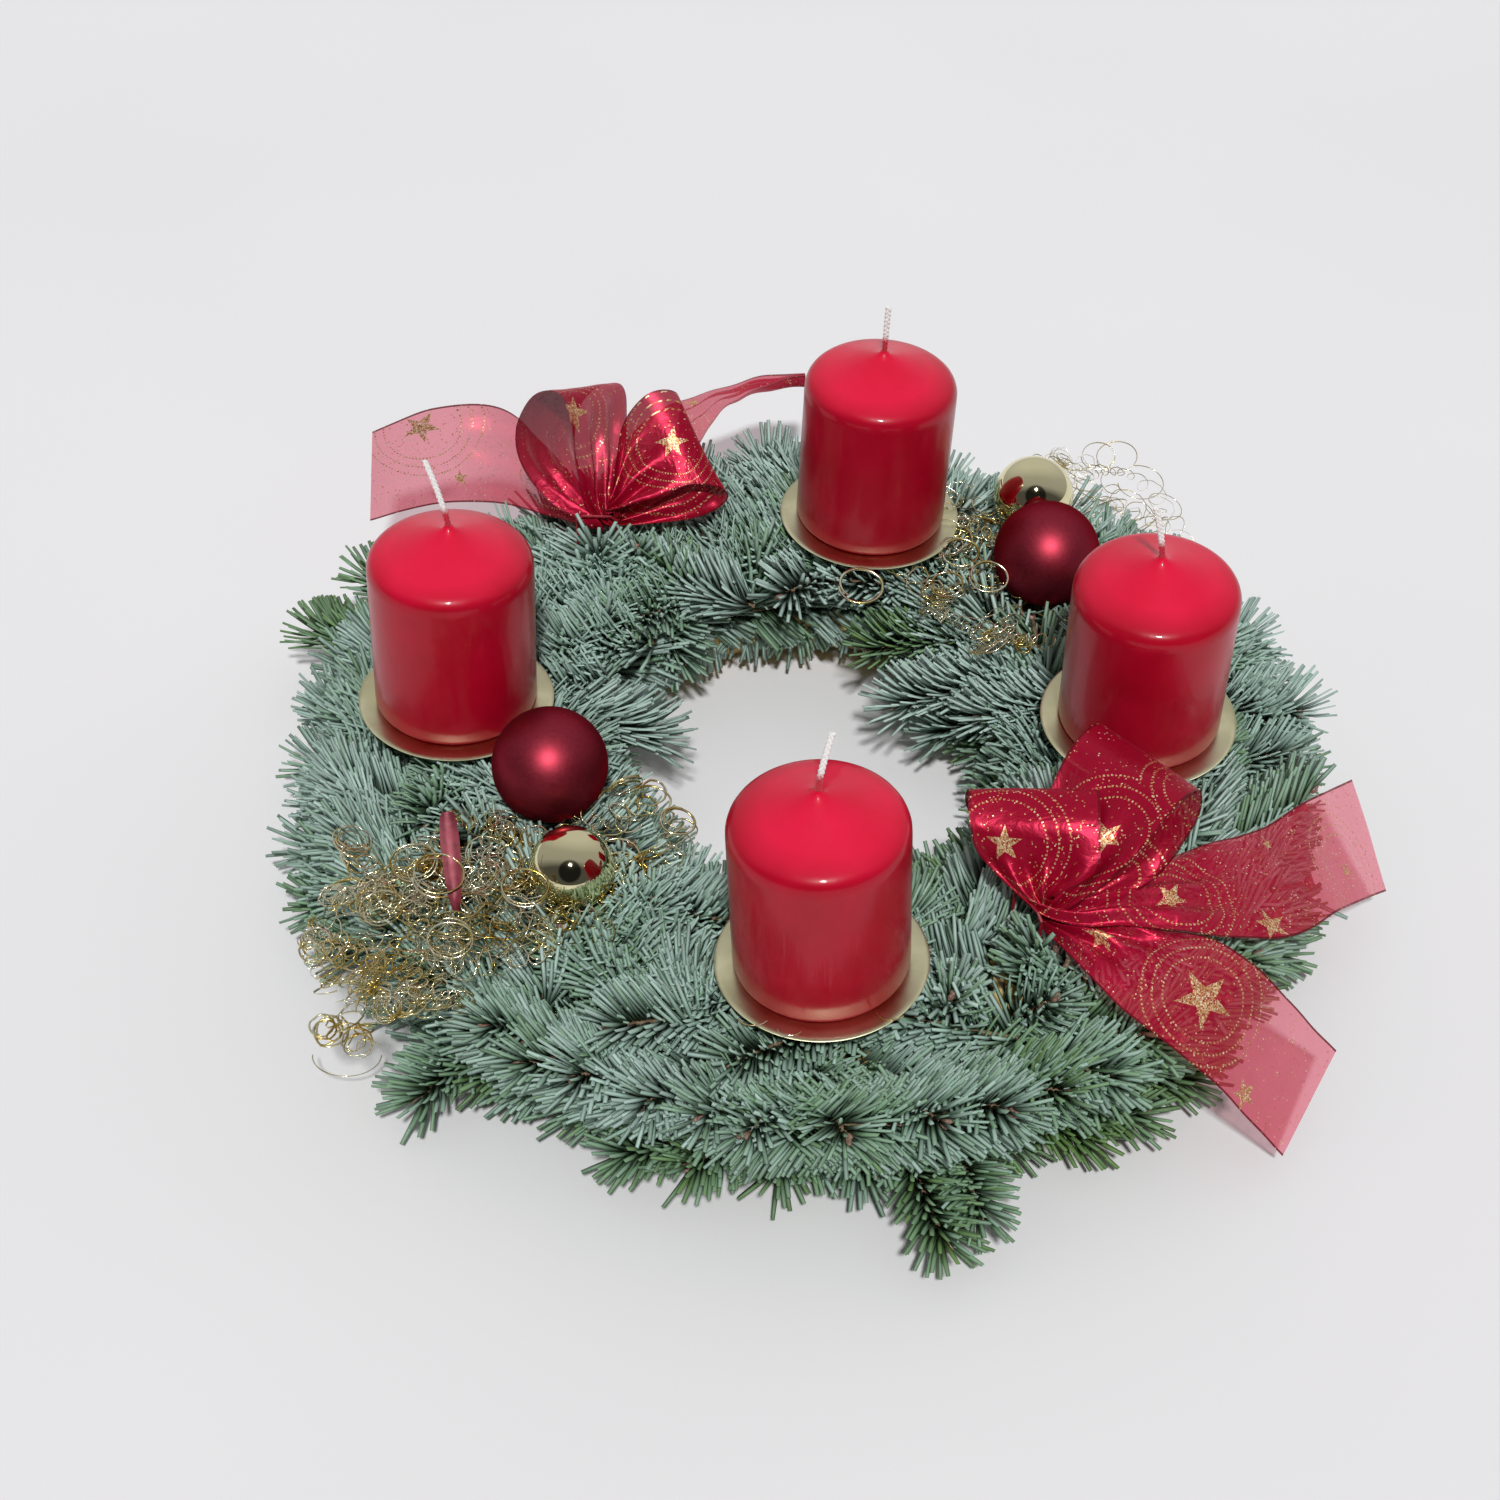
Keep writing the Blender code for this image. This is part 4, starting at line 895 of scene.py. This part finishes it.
def sprig(foot, tip, lift, tone, around=0.5, parted=0.0):
    """One sprig's shoot, buds and needles, as (corners, shape, material, tones) groups.

    Its needles stand round it for the given share of a turn, parted to both sides as far as given,
    and sweep up along lift. tone is 0 for blue to 1 for green.
    """
    foot, tip = np.array(foot), np.array(tip)
    length = np.linalg.norm(tip - foot)
    axis = (tip - foot) / length
    sag = SAG * draw.uniform(0.3, 1.3)
    out, end = unit(axis - sag * lift), unit(axis + sag * lift)
    side = unit(np.cross(axis, lift))
    up = np.cross(side, axis)
    one = np.ones(1)
    groups = [(laid(shoot_shape, foot[None], out[None], end[None], side[None], one * length,
                    one * SHOOT_WIDTH, one * SHOOT_WIDTH), shoot_shape, 1, one * tone)]
    for number in range(3):
        bearing = GOLDEN_TURN * number + draw.uniform(0, 1)
        way = unit(end + BUD_SPLAY * (math.cos(bearing) * side + math.sin(bearing) * up) * (number > 0))
        bud = laid(bud_shape, tip[None] - BUD_SUNK * end, way[None], way[None], side[None],
                   one * draw.uniform(*BUD_LENGTHS), one * BUD_WIDTH, one * BUD_WIDTH)
        groups.append((bud, bud_shape, 2, one * tone))
    count = int(NEEDLES_PER_METRE * length)
    place = (np.arange(count) + 0.5) / count
    shoot = unit(out + place[:, None] * (end - out))
    near_tip = np.clip((place * length - length + TIP_LENGTH) / TIP_LENGTH, 0, 1)
    bearing = (np.arange(count) * GOLDEN_TURN + draw.uniform(0, 6)) % (2 * math.pi) - math.pi
    bearing *= around + (1 - around) * near_tip * 0.7
    bearing += np.sign(bearing) * parted * np.maximum(math.pi / 2 - np.abs(bearing), 0) * (1 - near_tip)
    radial = np.cos(bearing)[:, None] * up + np.sin(bearing)[:, None] * side
    lean = np.radians(NEEDLE_LEAN - TIP_LEAN * near_tip**2 + chance.normal(0, 3.5, count))
    first = np.cos(lean)[:, None] * shoot + np.sin(lean)[:, None] * radial
    rising = up if around < 1 else shoot
    sweep = draw.uniform(0.5, 0.9) * (1 - parted) * (1 - 0.55 * near_tip)[:, None] * rising
    last = unit(first + sweep + 0.25 * shoot + chance.normal(0, 0.035, (count, 3)))
    blade = np.broadcast_to(up, first.shape) if around < 1 else shoot
    flat = unit(np.cross(blade, first) + chance.normal(0, 0.14, (count, 3)))
    grown = draw.uniform(0.85, 1.12) * NEEDLE_LENGTH
    lengths = grown * chance.uniform(0.84, 1.06, count) * (1 - 0.22 * near_tip)
    starts = foot + length * (place[:, None] * out + 0.5 * place[:, None]**2 * (end - out))
    starts = starts + NEEDLE_FOOT * radial
    shares = np.linspace(0.1, 1, 10)
    keep = clear(np.stack([on_line(starts, first, last, lengths, share) for share in shares], axis=1))
    widths = NEEDLE_WIDTH * chance.uniform(0.85, 1.1, count)
    corners = laid(needle_shape, starts, first, last, flat, lengths, widths, np.full(count, NEEDLE_THICKNESS))
    tones = np.clip(tone + chance.normal(0, 0.10, count), 0, 1)
    groups.append((corners[keep], needle_shape, 0, tones[keep]))
    return groups


def bunch(name, node_name, sprigs):
    """One piece of all the sprigs that are bound down together.

    Its growth map holds each point's tone, how far along its needle it is, and a number that all
    of one needle's points share.
    """
    corners, loops, sizes, kinds, growth = [], [], [], [], []
    base = 0
    for laid_sprig in sprigs:
        for group, (shape, shape_faces), kind, tones in sprig(*laid_sprig):
            copies, size = group.shape[:2]
            corners.append(group.reshape(-1, 3))
            flat = np.concatenate([np.array(face) for face in shape_faces])
            loops.append((base + size * np.arange(copies)[:, None] + flat[None]).ravel())
            sizes.append(np.tile([len(face) for face in shape_faces], copies))
            kinds.append(np.full(copies * len(shape_faces), kind))
            growth.append(np.stack([np.repeat(tones, size), np.tile(shape[:, 2], copies),
                                    np.repeat(chance.random(copies), size)], axis=1))
            base += copies * size
    mesh = bpy.data.meshes.new(name)
    corners, loops, sizes = np.concatenate(corners), np.concatenate(loops), np.concatenate(sizes)
    mesh.vertices.add(len(corners))
    mesh.vertices.foreach_set("co", corners.ravel())
    mesh.loops.add(len(loops))
    mesh.loops.foreach_set("vertex_index", loops)
    mesh.polygons.add(len(sizes))
    mesh.polygons.foreach_set("loop_start", np.concatenate([[0], np.cumsum(sizes)[:-1]]))
    mesh.polygons.foreach_set("loop_total", sizes)
    mesh.update(calc_edges=True)
    growth_map = mesh.attributes.new("growth", "FLOAT_VECTOR", "POINT")
    growth_map.data.foreach_set("vector", np.concatenate(growth).ravel())
    finish_piece(put_in(mesh), name, "noble_fir", [needle_wax, shoot_bark, bud_resin], node_name)
    mesh.polygons.foreach_set("material_index", np.concatenate(kinds))
    mesh.update()

# Needles: stiff green leaves under a bloom of pale blue wax, which is thin on the greener twigs.
# Each needle is painted darker and greener towards its base, as painted shade where the needles
# crowd round the shoot. No two reflect quite alike.
needle_wax = new_material("waxy_fir_needle", Specular_IOR_Level=0.4)
growth = node(needle_wax, "Attribute", attribute_name="growth").outputs["Vector"]
grown = node(needle_wax, "SeparateXYZ", [growth])
bloomed = node(needle_wax, "ValToRGB", [grown.outputs["X"]],
               [(0.0, "#b2cac1"), (0.3, "#99b4a6"), (0.6, "#7e9f80"), (1.0, "#67884c")])
# Painted shade: the dark green that each needle turns to towards its base, among the other needles.
painted_shade_at_base = node(needle_wax, "ValToRGB", [grown.outputs["X"]], [(0.0, "#28422c"), (1.0, "#2e4a18")])
clear_of_base_shade = node(needle_wax, "MapRange", [grown.outputs["Y"], 0.0, 0.65, 0.0, 1.0])
own = node(needle_wax, "HueSaturation", {
    "Value": node(needle_wax, "MapRange", [grown.outputs["Z"], 0.0, 1.0, 0.72, 1.15]),
    "Color": node(needle_wax, "MixRGB", [clear_of_base_shade, painted_shade_at_base, bloomed])})
feed(needle_wax, Base_Color=own,
     Roughness=node(needle_wax, "MapRange", [grown.outputs["Z"], 0.0, 1.0, 0.42, 0.6]))
# Shoots: thin smooth young bark, grey-brown and blotched.
shoot_bark = mottled("young_fir_bark", 500.0, 3.0, [(0.35, "#5b4a38"), (0.65, "#8b755c")], Roughness=0.8)
# Buds: scales stuck together with resin, dull pinkish brown.
bud_resin = mottled("resinous_fir_bud", 900.0, 0.0, [(0.1, "#a58474"), (0.8, "#6f5345")],
                    dull=(0.0, 1.0, 0.35, 0.6), relief=(0.5, 0.0006), pattern="TexVoronoi",
                    Specular_IOR_Level=0.6)

OUTER_REACH = {                      # how far out the twigs of each outer bunch reach, by bearing
    12: 0.205, 42: 0.190, 72: 0.203, 102: 0.203, 132: 0.205, 162: 0.219,
    192: 0.209, 222: 0.196, 252: 0.193, 282: 0.191, 312: 0.199, 342: 0.196,
}
# How far in the lowest twigs of the hole reach, and how high they hang, by bearing.
HOLE = {0: (0.060, 0.013), 30: (0.062, 0.014), 60: (0.070, 0.018), 170: (0.078, 0.018), 190: (0.064, 0.014),
        210: (0.060, 0.013), 240: (0.062, 0.013), 330: (0.058, 0.013), 360: (0.060, 0.013)}
# Where nothing stands out into the hole, and the twigs hang close down the straw.
BARE_SIDE = (66, 165)
# How much greener than the rest the twigs are, by bearing.
GREENER = {0: 0.0, 200: 0.0, 250: 0.1, 285: 0.3, 325: 0.35, 350: 0.1, 360: 0.0}
# Twigs that stand out from the rest: foot, tip and tone, by the bunch that they are bound into.
STRAYING = {
    "outer_06": [((-0.146, 0.066, 0.030), (-0.205, 0.089, 0.022), 0.8),
                 ((-0.140, 0.085, 0.034), (-0.186, 0.112, 0.034), 0.7)],
    "outer_08": [((-0.114, -0.111, 0.016), (-0.139, -0.143, 0.010), 0.5)],
    "outer_09": [((-0.064, -0.121, 0.046), (-0.032, -0.136, 0.049), 0.4),
                 ((-0.040, -0.146, 0.046), (-0.054, -0.117, 0.049), 0.3)],
    "outer_10": [((0.026, -0.160, 0.020), (0.040, -0.200, 0.012), 0.75),
                 ((0.044, -0.160, 0.020), (0.052, -0.192, 0.016), 0.6)],
    "outer_11": [((0.069, -0.119, 0.046), (0.072, -0.114, 0.063), 0.5),
                 ((0.078, -0.122, 0.046), (0.083, -0.117, 0.060), 0.5)],
    "inner_01": [((0.088, 0.052, 0.044), (0.032, 0.041, 0.032), 0.0),
                 ((0.085, 0.045, 0.032), (0.046, 0.036, 0.022), 0.2),
                 ((0.098, 0.030, 0.048), (0.062, 0.026, 0.040), 0.0)],
    "inner_02": [((0.068, 0.082, 0.040), (0.022, 0.072, 0.034), 0.8)],
    "inner_03": [((-0.066, 0.092, 0.044), (-0.056, 0.072, 0.026), 0.4),
                 ((-0.088, 0.092, 0.046), (-0.089, 0.096, 0.064), 0.3),
                 ((-0.076, 0.094, 0.046), (-0.074, 0.098, 0.062), 0.3)],
    "inner_04": [((-0.098, 0.012, 0.052), (-0.064, 0.016, 0.036), 0.1)],
}
UP = np.array((0.0, 0.0, 1.0))


def jitter(size):
    return draw.uniform(-size, size)


def out_at(angle):
    return polar(angle, 1, 0) - np.array(RING)


def tier(bearing, places, foot, tip, swirl, hang, tones, parted=(0.0, 0.5)):
    """Sprigs side by side about a bearing, foot and tip each (radius, height).

    places say how far beside it each stands, and how much shorter it is. Their feet are swirl
    degrees further round than their tips.
    """
    made = []
    for beside, shorter in places:
        angle = bearing + beside + jitter(1.5)
        foot_place = polar(angle + swirl + jitter(6), foot[0] + jitter(0.003), foot[1] + jitter(0.002))
        tip_place = polar(angle + jitter(2), tip[0] - shorter + jitter(0.003), tip[1] + jitter(0.003))
        lift = unit(UP + hang * out_at(angle) + np.array((jitter(0.12), jitter(0.12), 0)))
        greener = np.interp(angle % 360, list(GREENER), list(GREENER.values()))
        made.append((foot_place, tip_place, lift, draw.uniform(*tones) + greener, 0.5, draw.uniform(*parted)))
    return made


def straying(key):
    return [(np.array(RING) + foot, np.array(RING) + tip, UP, tone)
            for foot, tip, tone in STRAYING.get(key, [])]


# Outer bunches: three rows of twigs one over the other, then four laid more along the ring.
for number, (bearing, reach) in enumerate(OUTER_REACH.items(), 1):
    swirl = 8 if 150 < bearing < 265 else -7 if bearing > 265 else draw.choice((-6, 6))
    sprigs = tier(bearing, [(-11, 0.007), (-4, 0), (4, 0.002), (11, 0.008)],
                  (0.152, 0.012), (reach - 0.014, 0.012), swirl, 0.45, (0.25, 0.7))
    sprigs += tier(bearing, [(-13, 0.006), (-7, 0), (0, 0.003), (7, 0)],
                   (0.149, 0.023), (reach - 0.021, 0.029), swirl, 0.40, (0.1, 0.5))
    sprigs += tier(bearing, [(-10, 0.002), (-2, 0), (6, 0.003), (13, 0)],
                   (0.142, 0.034), (0.183, 0.044), 1.4 * swirl, 0.30, (0.0, 0.45))
    sprigs += tier(bearing, [(-6, 0), (8, 0)],
                   (0.172, 0.036), (0.176, 0.040), 2.3 * swirl, 0.9, (0.0, 0.3))
    sprigs += tier(bearing, [(-8, 0), (7, 0)],
                   (0.154, 0.018), (0.156, 0.024), 15, 3.0, (0.1, 0.6), (0.4, 0.7))
    sprigs += straying(f"outer_{number:02d}")
    bunch(f"twigs_outer_{number:02d}", f"fir_outer_{number:02d}", sprigs)

# Top bunches: four lanes of twigs along the ring, some upright, with more laid low and upright to
# fill between them.
TOP_STEP = 45
LANES = (0.102, 0.116, 0.130, 0.145)
UPRIGHT_SHARE = 0.3
for number in range(8):
    sprigs = []
    for lane, radius in enumerate(LANES):
        for offset in (-15, 0, 15):
            angle = TOP_STEP * number + offset + 4 * lane + jitter(3)
            if draw.random() < UPRIGHT_SHARE:
                foot = polar(angle, radius - 0.004, 0.036)
                tip = polar(angle + jitter(5), radius + 0.008, 0.056)
                sprigs.append((foot, tip, unit(out_at(angle)), draw.uniform(0.0, 0.5), 1.0))
                continue
            way = draw.choice((-1, 1)) if lane else 1
            turn_in = jitter(0.018)
            foot = polar(angle - 10 * way, radius - turn_in, 0.0455)
            tip = polar(angle + 9 * way, radius + turn_in, 0.0525)
            lift = unit(UP + 0.22 * (lane - 1.5) * out_at(angle))
            sprigs.append((foot, tip, lift, draw.uniform(0.0, 0.5), 0.5, draw.uniform(0.0, 0.4)))
    for radius in (0.117, 0.136):
        angle = TOP_STEP * number + jitter(12)
        foot, tip = polar(angle - 11, radius, 0.0435), polar(angle + 11, radius, 0.0445)
        sprigs.append((foot, tip, UP, draw.uniform(0.2, 0.7)))
    for radius in (0.110, 0.140):
        angle = TOP_STEP * number + jitter(18)
        foot = polar(angle, radius, 0.040)
        tip = polar(angle + jitter(4), radius + jitter(0.008), 0.0575)
        sprigs.append((foot, tip, unit(out_at(angle)), draw.uniform(0.2, 0.7), 1.0))
    bunch(f"twigs_top_{number + 1:02d}", f"fir_top_{number + 1:02d}", sprigs)

# Inner bunches: one low row that stands out into the hole and two twigs over each, or, on the bare
# side, short twigs that hang close down the straw.
for number, bearing in enumerate(range(0, 360, 60), 1):
    sprigs = []
    swirl = draw.choice((-8, 8))
    for step in (-24, -12, 0, 12, 24):
        angle = (bearing + step) % 360
        if BARE_SIDE[0] < angle < BARE_SIDE[1]:
            sprigs += tier(angle, [(-3, 0), (3, 0)],
                           (0.110, 0.048), (0.1045, 0.024), swirl, -6.0, (0.2, 0.6), (0.8, 0.9))
            sprigs += tier(angle, [(0, 0)], (0.118, 0.040), (0.108, 0.043), swirl, -0.6, (0.0, 0.5))
            sprigs += tier(angle, [(0, 0)],
                           (0.1030, 0.032), (0.1015, 0.034), 14, -6.0, (0.1, 0.5), (0.2, 0.5))
            continue
        reach, height = (np.interp(angle, list(HOLE), column) for column in zip(*HOLE.values()))
        foot = (max(0.102, reach + 0.024), height + 0.002)
        sprigs += tier(angle, [(0, 0)], foot, (reach + 0.013, height), swirl, -0.4, (0.3, 0.8))
        sprigs += tier(angle, [(-3, 0), (3, 0)],
                       (0.110, 0.036), (reach + 0.020, 0.039), swirl, -0.35, (0.0, 0.5))
    sprigs += straying(f"inner_{number:02d}")
    bunch(f"twigs_inner_{number:02d}", f"fir_inner_{number:02d}", sprigs)

# ---------------------------------------------------------------------------------------------
# Table, light and camera. A white table in a white room. A small bright lamp high in front gives
# the highlights and the soft shadows. The room is darker on that side, and darkest at one patch,
# where somebody stands.

bpy.context.scene.view_settings.view_transform = "Standard"
table = start(bpy.ops.mesh.primitive_plane_add, size=6.0, location=(0, 0, 0))
table.name = "table"
white = mottled("white_lacquered_board", 3.0, 2.0, [(0.3, "#ebeaeb"), (0.7, "#eeedee")], Roughness=0.5)
table.data.materials.append(white)

PALE_WAY = (0.05, 0.65, 0.45)        # towards the room's palest side
PALE_SHIFT = 0.2
ROOM_TONES = [(0.10, "#505052"), (0.36, "#a4a4a6"), (0.65, "#acacae"), (0.95, "#d2d2d4")]
PATCH_WAY = (0.0, -0.80, 0.60)       # towards the dark patch
PATCH_EDGE = (0.84, 0.89)
PATCH_SHADE = 0.85
ROOM_STRENGTH = 0.90
room = bpy.data.worlds.new("room")
bpy.context.scene.world = room
room.use_nodes = True
brighter = node(room, "VectorMath", [node(room, "TexCoord").outputs["Generated"], PALE_WAY],
                operation="DOT_PRODUCT").outputs["Value"]
brighter = node(room, "Math", [brighter, PALE_SHIFT], operation="ADD")
light = node(room, "ValToRGB", [brighter], ROOM_TONES)
facing = node(room, "VectorMath", [node(room, "TexCoord").outputs["Generated"], PATCH_WAY],
              operation="DOT_PRODUCT").outputs["Value"]
shade = node(room, "MapRange", [facing, *PATCH_EDGE, 0.0, PATCH_SHADE])
light = node(room, "MixRGB", [shade, light, colour("#040404")])
background = room.node_tree.nodes["Background"]
room.node_tree.links.new(light.outputs[0], background.inputs["Color"])
background.inputs["Strength"].default_value = ROOM_STRENGTH

LAMP_STRENGTH = 2.45
LAMP_BREADTH = 5                     # as seen from the table, in degrees
LAMP_TILT = 35
LAMP_TURN = 2
lamp = put_in(bpy.data.lights.new("lamp", "SUN"))
lamp.data.energy = LAMP_STRENGTH
lamp.data.angle = math.radians(LAMP_BREADTH)
lamp.rotation_euler = (math.radians(LAMP_TILT), 0, math.radians(LAMP_TURN))

CAMERA_PLACE = Vector((-0.0267, -0.6773, 0.6793))
PITCH = math.radians(90 - 43.139)
ROLL = math.radians(1.0196)
SENSOR_WIDTH = 36
LENS = 58.784
camera = put_in(bpy.data.cameras.new("camera"))
camera.data.sensor_width = SENSOR_WIDTH
camera.data.lens = LENS
camera.matrix_world = (
    Matrix.Translation(RING + CAMERA_PLACE)
    @ Matrix.Rotation(PITCH, 4, "X") @ Matrix.Rotation(ROLL, 4, "Z")
)
bpy.context.scene.camera = camera
